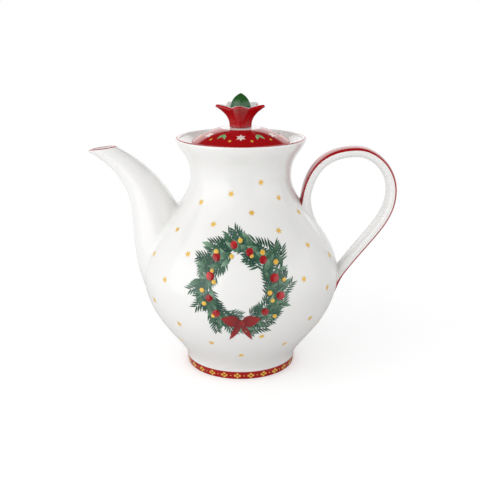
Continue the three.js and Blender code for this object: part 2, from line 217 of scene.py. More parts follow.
@dataclass(frozen=True)
class Effects:
    """The effects that finishes share, each a node group that feeds the shader's sockets by name."""

    wave_scale: float = 14.0
    wave_detail: float = 2.0
    grain_scale: float = 90.0
    grain_detail: float = 1.0
    grain_depth: float = 0.03
    ripple: float = 0.06
    ripple_height: float = 2.0 * MM

    def glaze(self) -> NodeTree:
        """Makes the unevenness of a fired glaze.

        Returns:
            A group that gives a slightly uneven colour, a roughness and a softly rippled normal.
        """
        nodes = Nodes.group(
            "fired_glaze",
            SHADING,
            {"Colour": COLOUR, "Deeper": COLOUR, "Roughness": NUMBER},
            {"Base Color": COLOUR, "Roughness": NUMBER, "Normal": VECTOR},
        )
        given, place = nodes.given(), nodes.place()
        wave = {"Vector": place, "Scale": self.wave_scale, "Detail": self.wave_detail}
        grain = {"Vector": place, "Scale": self.grain_scale, "Detail": self.grain_detail}
        broad, fine = (nodes.first("ShaderNodeTexNoise", values) for values in (wave, grain))
        bump = {"Height": broad, "Strength": self.ripple, "Distance": self.ripple_height}
        results = {
            "Base Color": nodes.blend(broad, given["Colour"], given["Deeper"]),
            "Roughness": nodes.maths("MULTIPLY_ADD", fine, self.grain_depth, given["Roughness"]),
            "Normal": nodes.first("ShaderNodeBump", bump),
        }
        nodes.add("NodeGroupOutput", results)
        return nodes.tree

    def fade(self) -> NodeTree:
        """Makes a colour that changes with height.

        Returns:
            A group that blends two colours between two heights.
        """
        inputs = {"Low Colour": COLOUR, "High Colour": COLOUR, "Low": NUMBER, "High": NUMBER}
        nodes = Nodes.group("height_blend", SHADING, inputs, {"Base Color": COLOUR})
        given = nodes.given()
        height = nodes.parts(nodes.place())["Z"]
        ends = {"Value": height, "From Min": given["Low"], "From Max": given["High"]}
        share = nodes.first("ShaderNodeMapRange", ends)
        colour = nodes.blend(share, given["Low Colour"], given["High Colour"])
        nodes.add("NodeGroupOutput", {"Base Color": colour})
        return nodes.tree

    def tone(self) -> NodeTree:
        """Makes the colour of a printed motif.

        Returns:
            A group that blends two colours by the motif's own tone and along its length.
        """
        inputs = {"Dark": COLOUR, "Light": COLOUR}
        nodes = Nodes.group("printed_tone", SHADING, inputs, {"Base Color": COLOUR})
        given = nodes.given()
        tone, along = (
            nodes.add("ShaderNodeAttribute", attribute_name=label).outputs["Fac"]
            for label in ("tone", "along")
        )
        colour = nodes.blend(nodes.maths("MULTIPLY", tone, along), given["Dark"], given["Light"])
        nodes.add("NodeGroupOutput", {"Base Color": colour})
        return nodes.tree


def new_material(name: str) -> tuple[Material, Nodes, Node]:
    """Starts a material.

    Args:
        name: The material's name.

    Returns:
        The material, its nodes and its shader.
    """
    material = bpy.data.materials.new(name)
    material.use_nodes = True
    nodes = Nodes(material.node_tree)
    return material, nodes, nodes.tree.nodes["Principled BSDF"]


def dressed(name: str, group: NodeTree, values: dict, plain: dict[str, float]) -> Material:
    """Makes a material from a shared effect.

    Args:
        name: The material's name.
        group: The shared effect.
        values: Colours and numbers for the effect.
        plain: Numbers for the shader itself.

    Returns:
        The material.
    """
    material, nodes, shader = new_material(name)
    solid = {label: (*value, 1.0) if isinstance(value, tuple) else value for label, value in values.items()}
    effect = nodes.add("ShaderNodeGroup", solid, node_tree=group)
    nodes.feed(shader, {**dict(effect.outputs.items()), **plain})
    return material


@dataclass(frozen=True)
class Glaze:
    """A fired glaze: its colour, the deeper colour where it lies thick, and its gloss."""

    name: str
    colour: Colour
    deeper: Colour
    roughness: float = 0.06
    specular: float = 0.5

    def make(self, group: NodeTree) -> Material:
        """Makes the glaze's material from the shared unevenness."""
        values = {"Colour": self.colour, "Deeper": self.deeper, "Roughness": self.roughness}
        return dressed(self.name, group, values, {"Specular IOR Level": self.specular})


@dataclass(frozen=True)
class Print:
    """A printed colour fired onto the glaze, in two tones that motifs range between."""

    name: str
    dark: Colour
    light: Colour
    roughness: float = 0.18
    metallic: float = 0.0

    def make(self, group: NodeTree) -> Material:
        """Makes the print's material from the shared tones."""
        plain = {"Roughness": self.roughness, "Metallic": self.metallic}
        return dressed(self.name, group, {"Dark": self.dark, "Light": self.light}, plain)


@dataclass(frozen=True)
class Fade:
    """A glaze whose colour changes between two heights."""

    name: str
    low_colour: Colour
    high_colour: Colour
    low: float
    high: float
    roughness: float = 0.08

    def make(self, group: NodeTree) -> Material:
        """Makes the fading glaze's material.

        Args:
            group: The shared blend over height.

        Returns:
            The material.
        """
        colours = {"Low Colour": self.low_colour, "High Colour": self.high_colour}
        heights = {"Low": self.low, "High": self.high}
        return dressed(self.name, group, {**colours, **heights}, {"Roughness": self.roughness})


@dataclass(frozen=True)
class Finishes:
    """Every material of the pot."""

    white: Material
    red: Material
    bisque: Material
    bud: Material
    gold: Material
    fir: Material
    leaf: Material
    berry: Material
    ribbon: Material
    pale: Material
    mint: Material

    @classmethod
    def make(cls) -> "Finishes":
        """Makes the materials.

        Returns:
            The finishes.
        """
        effects = Effects()
        glaze, fade, tone = effects.glaze(), effects.fade(), effects.tone()
        return cls(
            white=Glaze("white_porcelain", (0.84, 0.835, 0.82), (0.815, 0.81, 0.795)).make(glaze),
            red=Glaze("red_enamel", (0.42, 0.003, 0.006), (0.33, 0.002, 0.004), 0.07, 0.4).make(glaze),
            bisque=Glaze("bare_porcelain", (0.78, 0.76, 0.72), (0.72, 0.70, 0.66), 0.55).make(glaze),
            bud=Fade("green_enamel", (0.035, 0.13, 0.06), (0.016, 0.075, 0.006), 0.192, 0.207).make(fade),
            gold=Print("gold_print", (0.76, 0.44, 0.06), (0.92, 0.62, 0.11), 0.3, 0.1).make(tone),
            fir=Print("fir_print", (0.012, 0.045, 0.03), (0.10, 0.22, 0.15)).make(tone),
            leaf=Print("leaf_print", (0.015, 0.075, 0.035), (0.30, 0.46, 0.33)).make(tone),
            berry=Print("berry_print", (0.27, 0.005, 0.01), (0.62, 0.05, 0.05), 0.12).make(tone),
            ribbon=Print("ribbon_print", (0.15, 0.002, 0.005), (0.74, 0.05, 0.045), 0.2).make(tone),
            pale=Print("pale_print", (0.72, 0.55, 0.50), (0.84, 0.80, 0.76), 0.2).make(tone),
            mint=Print("mint_print", (0.16, 0.36, 0.14), (0.42, 0.62, 0.34)).make(tone),
        )


def cubic(points: Sequence[Point2], share: np.ndarray) -> np.ndarray:
    """Places on a smooth curve.

    Args:
        points: Its start, two pull points and its end.
        share: How far along it the places lie, from 0 to 1.

    Returns:
        The places.
    """
    start, pull, last_pull, end = (np.array(point, float) for point in points)
    rest = 1 - share
    return rest**3 * start + 3 * rest**2 * share * pull + 3 * rest * share**2 * last_pull + share**3 * end


def bezier(points: Sequence[Point2], steps: int) -> np.ndarray:
    """Draws a smooth curve in a number of steps."""
    return cubic(points, np.linspace(0, 1, steps + 1)[:, None])


def rising(start: Point2, end: Point2, pulls: Point2, steps: int) -> np.ndarray:
    """Draws a smooth curve that leaves and arrives upright, pulled by shares of its rise."""
    low, high = (share * (end[1] - start[1]) for share in pulls)
    return bezier([start, (start[0], start[1] + low), (end[0], end[1] - high), end], steps)


def chain(*lines: np.ndarray) -> np.ndarray:
    """Joins lines that follow one another, with each shared point once."""
    return np.vstack([line if i == 0 else line[1:] for i, line in enumerate(lines)])


def arc(centre: Point2, radius: float, start: float, end: float, steps: int) -> np.ndarray:
    """Draws an arc between two angles in degrees."""
    turn = np.radians(np.linspace(start, end, steps + 1))
    return np.array(centre) + radius * np.column_stack([np.cos(turn), np.sin(turn)])


def round_turn(count: int) -> np.ndarray:
    """Spaces angles evenly round a full turn."""
    return np.linspace(0, FULL_TURN, count, endpoint=False)


def half_turn(count: int) -> np.ndarray:
    """Spaces angles evenly between the ends of a half turn."""
    return np.linspace(0, math.pi, count + 1)[1:-1]


def ring(radius: Values, turn: np.ndarray, height: Values) -> np.ndarray:
    """Sets points round the upright axis."""
    return np.column_stack(np.broadcast_arrays(radius * np.cos(turn), radius * np.sin(turn), height))


def unit(ways: np.ndarray) -> np.ndarray:
    """Gives directions the length 1."""
    return ways / np.linalg.norm(ways, axis=-1, keepdims=True)


def softened(corners: Sequence[Point2], round_by: float, steps: int = 5, most: float = 0.45) -> np.ndarray:
    """Rounds the inner corners of a line.

    Args:
        corners: The line's corners.
        round_by: Length that a rounding takes of each side.
        steps: Steps in a rounding.
        most: The largest share of a side that a rounding takes.

    Returns:
        The rounded line.
    """
    places = [np.array(corner, float) for corner in corners]
    line = [places[0]]
    for before, corner, after in zip(places, places[1:], places[2:]):
        back, on = before - corner, after - corner
        cut = min(round_by, most * np.linalg.norm(back), most * np.linalg.norm(on))
        start, end = corner + unit(back) * cut, corner + unit(on) * cut
        for share in np.linspace(0, 1, steps + 1):
            line.append((1 - share) ** 2 * start + 2 * share * (1 - share) * corner + share**2 * end)
    line.append(places[-1])
    return np.array(line)


def offset(line: np.ndarray, distance: float) -> np.ndarray:
    """Moves a rising line outwards, or inwards if the distance is negative."""
    along = unit(np.gradient(line, axis=0))
    return line + distance * np.column_stack([along[:, 1], -along[:, 0]])


def mesh_object(
    name: str, points: np.ndarray, faces: list, materials: list[Material], tints: list[int] | None = None
) -> Object:
    """Makes a smooth mesh object at the origin.

    Args:
        name: The object's name.
        points: Its points, in metres.
        faces: Its faces as tuples of point numbers, outwards.
        materials: Its materials.
        tints: The material of each face.

    Returns:
        The object.
    """
    mesh = bpy.data.meshes.new(name)
    mesh.from_pydata(points.tolist(), [], faces)
    for material in materials:
        mesh.materials.append(material)
    if tints is not None:
        mesh.polygons.foreach_set("material_index", tints)
    mesh.shade_smooth()
    mesh.set_sharp_from_angle(angle=SHARP_ANGLE)
    made = bpy.data.objects.new(name, mesh)
    bpy.context.collection.objects.link(made)
    return made


def turned(name: str, profile: np.ndarray, tints: list[int], materials: list[Material], sides: int) -> Object:
    """Turns a profile about the upright axis.

    Args:
        name: The object's name.
        profile: Radius and height, starting and ending on the axis, upwards on the outside.
        tints: The material of each step of the profile.
        materials: The materials.
        sides: Facets round the axis.

    Returns:
        The turned object.
    """
    turn = round_turn(sides)
    rings = [ring(radius, turn, height) for radius, height in profile[1:-1]]
    points = np.vstack([*rings, [(0, 0, profile[0, 1]), (0, 0, profile[-1, 1])]])
    last = (len(rings) - 1) * sides
    low_middle, high_middle = len(points) - 2, len(points) - 1
    faces, colours = [], []
    for j in range(sides):
        k = (j + 1) % sides
        faces.append((low_middle, k, j))
        for low in range(0, last, sides):
            high = low + sides
            faces.append((low + j, low + k, high + k, high + j))
        faces.append((last + j, last + k, high_middle))
        colours.extend(tints)
    return mesh_object(name, points, faces, materials, colours)


def tube_faces(rows: int, sides: int, closed: bool = False) -> list[tuple[int, ...]]:
    """Faces of a skin over rings of points.

    Args:
        rows: Number of rings.
        sides: Points in a ring.
        closed: True if the last ring joins the first, false if each end has a cap.

    Returns:
        The faces, row by row.
    """
    faces: list[tuple[int, ...]] = []
    for i in range(rows if closed else rows - 1):
        low, high = i * sides, ((i + 1) % rows) * sides
        for j in range(sides):
            k = (j + 1) % sides
            faces.append((low + j, low + k, high + k, high + j))
    if not closed:
        faces.append(tuple(range(sides - 1, -1, -1)))
        faces.append(tuple((rows - 1) * sides + j for j in range(sides)))
    return faces


def baked(made: Object) -> None:
    """Turns an object's modifiers into plain mesh.

    Args:
        made: The object.
    """
    graph = bpy.context.evaluated_depsgraph_get()
    whole = made.evaluated_get(graph)
    mesh = bpy.data.meshes.new_from_object(whole, preserve_all_data_layers=True, depsgraph=graph)
    mesh.name = made.name
    made.modifiers.clear()
    made.data = mesh


def seated(piece: Object, body: Body, slot: Slot, *nodes: str) -> Object:
    """Puts a finished piece onto its body.

    Args:
        piece: The piece.
        body: The body that carries it.
        slot: The record's finish it takes; not used.
        nodes: The CAD nodes it stands for.

    Returns:
        The piece.
    """
    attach(piece, body.value)
    if nodes:
        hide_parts(*nodes)
    piece.data.calc_loop_triangles()
    LOG.info("%s: %d triangles on %s", piece.name, len(piece.data.loop_triangles), body.value)
    return piece


@dataclass(frozen=True)
class Outline:
    """The pot's outside as a line of radius and height, which seats whatever is stuck onto it."""

    line: np.ndarray

    def radius(self, height: float) -> float:
        """Gives the pot's radius at a height."""
        return float(np.interp(height, self.line[:, 1], self.line[:, 0]))

    def gap(self, places: np.ndarray) -> tuple[np.ndarray, np.ndarray]:
        """Distance from the pot's outside, and the way out of it.

        Args:
            places: Places in space, one row each.

        Returns:
            The distances, negative inside, and the outward directions.
        """
        flat = np.column_stack([np.hypot(places[:, 0], places[:, 1]), places[:, 2]])
        start, step = self.line[:-1], np.diff(self.line, axis=0)
        length = np.sum(step**2, axis=1)
        away = flat[:, None, :] - start
        share = np.clip(np.sum(away * step, axis=2) / length, 0, 1)
        away -= share[:, :, None] * step
        nearest = np.argmin(np.sum(away**2, axis=2), axis=1)
        away = away[np.arange(len(flat)), nearest]
        out = np.column_stack([step[nearest, 1], -step[nearest, 0]]) / np.sqrt(length[nearest])[:, None]
        distance = np.copysign(np.linalg.norm(away, axis=1), np.sum(away * out, axis=1))
        way = places[:, :2] / np.maximum(flat[:, :1], TINY)
        return distance, np.column_stack([way * out[:, :1], out[:, 1]])

    def gaps(self, columns: np.ndarray) -> np.ndarray:
        """Gives the distances of columns of places from the pot's outside."""
        return self.gap(columns.reshape(-1, 3))[0].reshape(columns.shape[:-1])

    def fillet(self, columns: np.ndarray, outwards: np.ndarray, size: float) -> np.ndarray:
        """Rounds the corner between the pot and what stands on it.

        Args:
            columns: Columns of points of the standing skin.
            outwards: Its outward directions.
            size: Size of the rounding.

        Returns:
            The moved columns.
        """
        places, ways = columns.reshape(-1, 3), outwards.reshape(-1, 3)
        distance, out = self.gap(places)
        sideways = ways - np.sum(ways * out, axis=1)[:, None] * out
        rest = size - np.clip(distance, 0, size)
        spread = size - np.sqrt(size**2 - rest**2)
        return (places + sideways * spread[:, None]).reshape(columns.shape)


def crossing(values: np.ndarray, steps: np.ndarray, level: float, start: int, way: int) -> np.ndarray:
    """Finds where columns of values first cross a level.

    Args:
        values: One row of values for each column.
        steps: The place of each value.
        level: The level.
        start: Number of the value to start from.
        way: 1 to go up through the values, -1 to go down.

    Returns:
        The place of the crossing in each column, one row each.
    """
    found = []
    side = np.sign(values[:, start] - level)
    for row, began in zip(values, side):
        i = start
        while 0 <= i + way < len(steps) and (row[i + way] - level) * began > 0:
            i += way
        k = min(max(i + way, 0), len(steps) - 1)
        share = 0 if k == i else (level - row[i]) / (row[k] - row[i])
        found.append(steps[i] + np.clip(share, 0, 1) * (steps[k] - steps[i]))
    return np.array(found)[:, None]


@dataclass
class PotBody:
    """The pear-shaped body: foot, belly, neck, lip, and the ledge that carries the lid."""

    foot_radius: float = 41.0 * MM
    foot_top: float = 41.8 * MM
    foot_height: float = 6.2 * MM
    band_top: float = 6.4 * MM
    ring_inside: float = 36.6 * MM
    ring_slope: float = 1.5 * MM
    recess: float = 3.0 * MM
    floor: float = 7.2 * MM
    floor_bend: float = 10.2 * MM
    wall_from: float = 20.8 * MM
    belly: Point2 = (73.9 * MM, 72.5 * MM)
    neck: Point2 = (37.3 * MM, 146.9 * MM)
    rim: Point2 = (48.0 * MM, 175.0 * MM)
    wall: float = 3.4 * MM
    lip: float = 1.5 * MM
    lip_lean: float = 37.0
    # Pulls at both ends of the outside's three curves, as shares of their rise
    low_pulls: Point2 = (0.2, 0.52)
    high_pulls: Point2 = (0.406, 0.297)
    neck_pulls: Point2 = (0.54, 0.3)
    throat: float = 33.0 * MM
    seat: Point2 = (37.0 * MM, 169.0 * MM)
    ledge: float = 165.0 * MM
    ledge_slope: float = 3.0 * MM
    edge: float = 0.7 * MM
    # Angles on the lip that the painted line lies between
    rim_line: Point2 = (46.0, 102.0)
    # How far the foot's paint reaches inwards, and how far up from the table it starts
    paint_slack: Point2 = (0.175 * MM, 0.058 * MM)
    hole_size: Point2 = (24.0 * MM, 34.0 * MM)
    hole_height: float = 88.5 * MM
    hole_ends: Point2 = (-103.5 * MM, -37.0 * MM)
    hole_sides: int = 40
    notch_half: float = 5.2 * MM
    notch_reach: float = 35.6 * MM
    steps: tuple[int, int, int] = (44, 52, 24)
    lip_steps: int = 24
    sides: int = 192
    outline: Outline = field(init=False)

    def __post_init__(self) -> None:
        """Draws the outside from the foot's top to the lip."""
        foot, neck, centre = (self.foot_top, self.foot_height), self.neck, self.lip_centre()
        lean = math.radians(self.lip_lean)
        end = (centre[0] + self.lip * math.cos(lean), centre[1] - self.lip * math.sin(lean))
        run, flare = end[0] - neck[0], end[1] - neck[1]
        pull, last_pull = self.neck_pulls
        pulled = (neck[0], neck[1] + pull * flare), (end[0] - last_pull * run, end[1] - last_pull * flare)
        line = chain(
            rising(foot, self.belly, self.low_pulls, self.steps[0]),
            rising(self.belly, neck, self.high_pulls, self.steps[1]),
            bezier([neck, *pulled, end], self.steps[2]),
        )
        self.outline = Outline(line)

    def lip_centre(self) -> Point2:
        """Gives the centre of the lip's rounding."""
        return self.rim[0] - self.lip, self.rim[1] - self.lip

    def build(self, looks: Finishes) -> Object:
        """Builds the body with its red foot band and rim line.

        Args:
            looks: The finishes.

        Returns:
            The body.
        """
        line = self.outline.line
        ledge_foot = self.ledge - self.ledge_slope - self.edge
        inside = offset(line, -self.wall)
        inside = inside[(inside[:, 1] > self.wall_from) & (inside[:, 1] < ledge_foot)][::-1]
        low_wall = self.outline.radius(self.floor + self.wall) - self.wall
        foot = softened(
            [
                (0, self.recess),
                (self.ring_inside - self.ring_slope, self.recess),
                (self.ring_inside, 0),
                (self.foot_radius, 0),
                (self.foot_top, self.foot_height),
            ],
            self.edge,
        )
        centre = self.lip_centre()
        lip = arc(centre, self.lip, -self.lip_lean, 180.0, self.lip_steps)
        mouth = softened(
            [
                (centre[0] - self.lip, centre[1]),
                self.seat,
                (self.throat, self.seat[1]),
                (self.throat, self.ledge),
                (inside[0, 0], ledge_foot),
                tuple(inside[0]),
            ],
            self.edge,
        )
        bottom = softened(
            [
                tuple(inside[-1]),
                (low_wall, self.floor + self.wall),
                (low_wall - self.floor_bend, self.floor),
                (0, self.floor),
            ],
            self.floor_bend,
        )
        profile = chain(foot, line, lip, mouth, inside, bottom)
        steps = np.arange(len(profile) - 1)
        radius, height = ((profile[:-1] + profile[1:]) / 2).T
        first = len(foot) + len(line) - 2
        outside = (radius > self.foot_radius - self.paint_slack[0]) & (height > self.paint_slack[1])
        band = (steps < first) & outside & (height < self.band_top)
        stand = (steps < len(foot) - 1) & (height < self.paint_slack[1])
        turn = np.degrees(np.arctan2(height - centre[1], radius - centre[0]))
        on_lip = (steps >= first) & (steps < first + len(lip) - 1)
        painted = band | (on_lip & (turn > self.rim_line[0]) & (turn < self.rim_line[1]))
        tints = np.where(painted, 1, np.where(stand, 2, 0)).tolist()
        body = turned("glazed_body", profile, tints, [looks.white, looks.red, looks.bisque], self.sides)
        self.cut(body, looks)
        return seated(body, Body.POT, Slot.WHITE, "pot_body")

    def cut(self, body: Object, looks: Finishes) -> None:
        """Cuts the hole behind the spout and the notch for the lid's nose.

        Args:
            body: The turned body.
            looks: The finishes.
        """
        turn = round_turn(self.hole_sides)
        oval = zip(np.cos(turn) * self.hole_size[0] / 2, np.sin(turn) * self.hole_size[1] / 2)
        ring_points = [(across, self.hole_height + up) for across, up in oval]
        hole = [(x, across, up) for x in self.hole_ends for across, up in ring_points]
        half, low, far = self.notch_half, self.throat - self.wall, self.notch_reach
        square = [(-half, low), (half, low), (half, far), (-half, far)]
        notch = [(x, y, z) for z in (self.ledge - self.ledge_slope, self.rim[1]) for x, y in square]
        cutters = []
        for name, points in (("spout_hole", hole), ("nose_notch", notch)):
            cutter = mesh_object(name, np.array(points), tube_faces(2, len(points) // 2), [looks.white])
            rule = body.modifiers.new(name, "BOOLEAN")
            rule.operation = "DIFFERENCE"
            rule.solver = "EXACT"
            rule.object = cutter
            cutters.append(cutter)
        baked(body)
        body.data.set_sharp_from_angle(angle=SHARP_ANGLE)
        for cutter in cutters:
            bpy.data.objects.remove(cutter)


@dataclass
class Spout:
    """The S-shaped spout with its blunt pouring lip."""

    root: Point2 = (-38.4 * MM, 61.1 * MM)
    swell: Point2 = (-72.9 * MM, 99.6 * MM)
    bend: Point2 = (-50.0 * MM, 137.5 * MM)
    end: Point2 = (-106.0 * MM, 167.6 * MM)
    root_radius: float = 32.0 * MM
    tip_radius: float = 6.4 * MM
    taper: float = 1.147
    wall: float = 2.6 * MM
    mouth: Point2 = (-102.0 * MM, 167.0 * MM)
    mouth_tilt: float = 7.3
    blunt: Point2 = (-117.4 * MM, 167.0 * MM)
    blunt_lean: float = 30.0
    corner: float = 2.0 * MM
    lip: float = 1.1 * MM
    sink: float = 0.3 * MM
    fillet: float = 3.2 * MM
    # How far the tube runs on past its curve, and a place along it that is clear of the pot
    runout: float = 0.36
    outside_at: float = 0.8
    # Over 1 for rows that lie closer together near the pot
    crowding: float = 1.5
    samples: int = 500
    sides: int = 96
    rows: int = 88
    lip_rows: int = 14

    def skin(self, turn: np.ndarray, share: np.ndarray, wall: float) -> tuple[np.ndarray, np.ndarray]:
        """Points of the tube's skin.

        Args:
            turn: Angles round the tube.
            share: Places along it, where 1 is the end of the curve and more runs straight on.
            wall: How far the skin lies inside the outside.

        Returns:
            The points and their outward directions.
        """
        turn, share = np.broadcast_arrays(turn, share)
        on = np.clip(share, 0, 1)[..., None]
        rest = 1 - on
        p = [np.array(point) for point in (self.root, self.swell, self.bend, self.end)]
        speed = 3 * (rest**2 * (p[1] - p[0]) + 2 * rest * on * (p[2] - p[1]) + on**2 * (p[3] - p[2]))
        place = cubic(p, on) + speed * np.maximum(share - 1, 0)[..., None]
        along = unit(speed)
        radius = self.tip_radius + (self.root_radius - self.tip_radius) * rest[..., 0] ** self.taper - wall
        up, across = np.cos(turn), -np.sin(turn)
        out = np.stack([-along[..., 1] * up, across, along[..., 0] * up], axis=-1)
        middle = np.stack([place[..., 0], np.zeros_like(radius), place[..., 1]], axis=-1)
        return middle + out * radius[..., None], out

    def above(self, places: np.ndarray) -> np.ndarray:
        """How far places lie past the mouth's cut.

        Args:
            places: The places.

        Returns:
            The distances, positive where the clay is cut away.
        """
        tilt, lean = math.radians(self.mouth_tilt), math.radians(self.blunt_lean)
        x, z = places[..., 0], places[..., 2]
        over = math.cos(tilt) * (z - self.mouth[1]) - math.sin(tilt) * (x - self.mouth[0])
        past = -math.cos(lean) * (x - self.blunt[0]) - math.sin(lean) * (z - self.blunt[1])
        return (over + past + np.sqrt((over - past) ** 2 + self.corner**2)) / 2

    def wall_rows(self, outline: Outline, wall: float) -> np.ndarray:
        """Rows of the outside or of the bore, from the pot to the mouth.

        Args:
            outline: The pot's outside.
            wall: How far the skin lies inside the outside.

        Returns:
            The rows of points.
        """
        turn = round_turn(self.sides)[:, None]
        steps = np.linspace(0, 1 + self.runout, self.samples)
        places, _ = self.skin(turn, steps[None, :], wall)
        probe = int(np.searchsorted(steps, self.outside_at))
        start = crossing(outline.gaps(places), steps, -self.sink, probe, -1)
        end = crossing(self.above(places), steps, -self.lip, probe, 1)
        share = start + (end - start) * np.linspace(0, 1, self.rows)[None, :] ** self.crowding
        points, out = self.skin(turn, share, wall)
        if wall == 0:
            points = outline.fillet(points, out, self.fillet)
        return points.transpose(1, 0, 2)

    def build(self, outline: Outline, looks: Finishes) -> Object:
        """Builds the spout with a red line on its lip.

        Args:
            outline: The pot's outside.
            looks: The finishes.

        Returns:
            The spout.
        """
        outside = self.wall_rows(outline, 0.0)
        bore = self.wall_rows(outline, self.wall)[::-1]
        middle, half = (outside[-1] + bore[0]) / 2, (outside[-1] - bore[0]) / 2
        slopes = [self.above(middle + probe) - self.above(middle - probe) for probe in np.eye(3) * self.sink]
        way = unit(np.stack(slopes, axis=1))
        turns = half_turn(self.lip_rows)
        lip = [middle + half * math.cos(turn) + way * self.lip * math.sin(turn) for turn in turns]
        rings = np.concatenate([outside, lip, bore])
        first = len(outside) - 1
        red_rows = range(first + self.lip_rows // 4, first + 3 * self.lip_rows // 4)
        tints = [int(i in red_rows) for i in range(len(rings)) for _ in range(self.sides)]
        faces = tube_faces(len(rings), self.sides, closed=True)
        made = mesh_object("glazed_spout", rings.reshape(-1, 3), faces, [looks.white, looks.red], tints)
        return seated(made, Body.POT, Slot.WHITE, "spout")


@dataclass
class Handle:
    """The ear-shaped strap handle with its red back."""

    width: float = 19.6 * MM
    foot_width: float = 16.7 * MM
    thickness: float = 7.6 * MM
    crown: float = 0.35
    roundness: float = 0.8
    root_height: float = 128.0 * MM
    root_lean: float = 83.9
    root_depth: float = 20.0 * MM
    flare: float = 10.0 * MM
    flare_length: float = 27.0 * MM
    top: Point2 = (85.6 * MM, 167.9 * MM)
    far: Point2 = (116.1 * MM, 134.2 * MM)
    foot_height: float = 36.5 * MM
    foot_inset: float = 2.0 * MM
    foot_lean: float = 65.2
    foot_flare: float = 2.8 * MM
    foot_flare_length: float = 40.0 * MM
    rise_pulls: Point2 = (29.7 * MM, 21.3 * MM)
    crown_pulls: Point2 = (15.1 * MM, 19.0 * MM)
    fall_pulls: Point2 = (31.0 * MM, 61.0 * MM)
    # Angle from the strap's side to the red, at the root and from a share of the length on
    red_from: Point2 = (26.0, 7.0)
    red_settled: float = 0.55
    edge_columns: int = 5
    sink: float = 0.3 * MM
    fillet: float = 1.5 * MM
    # Over 0 for rows that lie closer together at both ends
    crowding: float = 0.5
    root_steps: int = 40
    steps: tuple[int, int, int] = (120, 120, 160)
    back_samples: int = 900
    trim_samples: int = 600
    sides: int = 72
    rows: int = 200

    def back(self, outline: Outline) -> np.ndarray:
        """Draws the handle's back.

        Args:
            outline: The pot's outside.

        Returns:
            Points of the back, evenly spaced, each with its run along the back.
        """
        root = np.array([outline.radius(self.root_height), self.root_height])
        foot = np.array([outline.radius(self.foot_height) - self.foot_inset, self.foot_height])
        way, foot_way = (
            np.array([math.cos(lean), math.sin(lean)])
            for lean in np.radians([self.root_lean, self.foot_lean])
        )
        top, far, over, up = np.array(self.top), np.array(self.far), np.array([1, 0]), np.array([0, 1])
        curves = (
            [root, root + way * self.rise_pulls[0], top - over * self.rise_pulls[1], top],
            [top, top + over * self.crown_pulls[0], far + up * self.crown_pulls[1], far],
            [far, far - up * self.fall_pulls[0], foot + foot_way * self.fall_pulls[1], foot],
        )
        line = chain(
            np.linspace(root - way * self.root_depth, root, self.root_steps),
            *(bezier(points, steps) for points, steps in zip(curves, self.steps)),
        )
        run = np.concatenate([[0], np.cumsum(np.linalg.norm(np.diff(line, axis=0), axis=1))])
        even = np.linspace(0, run[-1], self.back_samples)
        return np.column_stack([np.interp(even, run, line[:, 0]), np.interp(even, run, line[:, 1]), even])

    def skin(self, back: np.ndarray, turn: np.ndarray, share: np.ndarray) -> tuple[np.ndarray, np.ndarray]:
        """Points of the strap's skin.

        Args:
            back: The handle's back.
            turn: Angles round the section, where a quarter turn is the back.
            share: Places along it from 0 to 1.

        Returns:
            The points and their outward directions.
        """
        turn, share = np.broadcast_arrays(turn, share)
        even = np.linspace(0, 1, len(back))
        slope = unit(np.gradient(back[:, :2], axis=0))
        x, z, run = (np.interp(share, even, back[:, i]) for i in range(3))
        along_x, along_z = (np.interp(share, even, slope[:, i]) for i in range(2))
        flare = np.maximum(0, 1 - run / self.flare_length) ** 2
        depth = self.thickness + self.flare * flare
        width = self.width + (self.foot_width - self.width) * share
        crown = self.thickness * self.crown
        up = np.sign(np.sin(turn)) * np.abs(np.sin(turn)) ** self.roundness
        side = np.sign(np.cos(turn)) * np.abs(np.cos(turn)) ** self.roundness
        left = np.minimum(1, (back[-1, 2] - run) / self.foot_flare_length)
        foot_flare = self.foot_flare * np.sin(math.pi * left) ** 2
        inward = crown - up * np.where(up > 0, crown + foot_flare, depth - crown)
        place = np.stack([x + along_z * inward, side * width / 2, z - along_x * inward], axis=-1)
        return place, unit(np.stack([-along_z * up, side, along_x * up], axis=-1))

    def columns(self, edge: float) -> np.ndarray:
        """Angles round the section, with the edges of the red back on fixed columns.

        Args:
            edge: Angle from the strap's side to the red, in degrees.

        Returns:
            The angles, one row each.
        """
        half = self.sides // 2
        marks = [0, self.edge_columns, half - self.edge_columns, half, self.sides]
        angles = np.interp(np.arange(self.sides), marks, [0, edge, 180 - edge, 180, 360])
        return np.radians(angles)[:, None]

    def trim(self, back: np.ndarray, outline: Outline, turn: np.ndarray, way: int) -> np.ndarray:
        """Finds where the strap meets the pot.

        Args:
            back: The handle's back.
            outline: The pot's outside.
            turn: Angles round the section.
            way: -1 for its root, 1 for its foot.

        Returns:
            The place along the strap for each angle.
        """
        steps = np.linspace(0, 1, self.trim_samples)
        places, _ = self.skin(back, turn, steps[None, :])
        return crossing(outline.gaps(places), steps, -self.sink, len(steps) // 2, way)

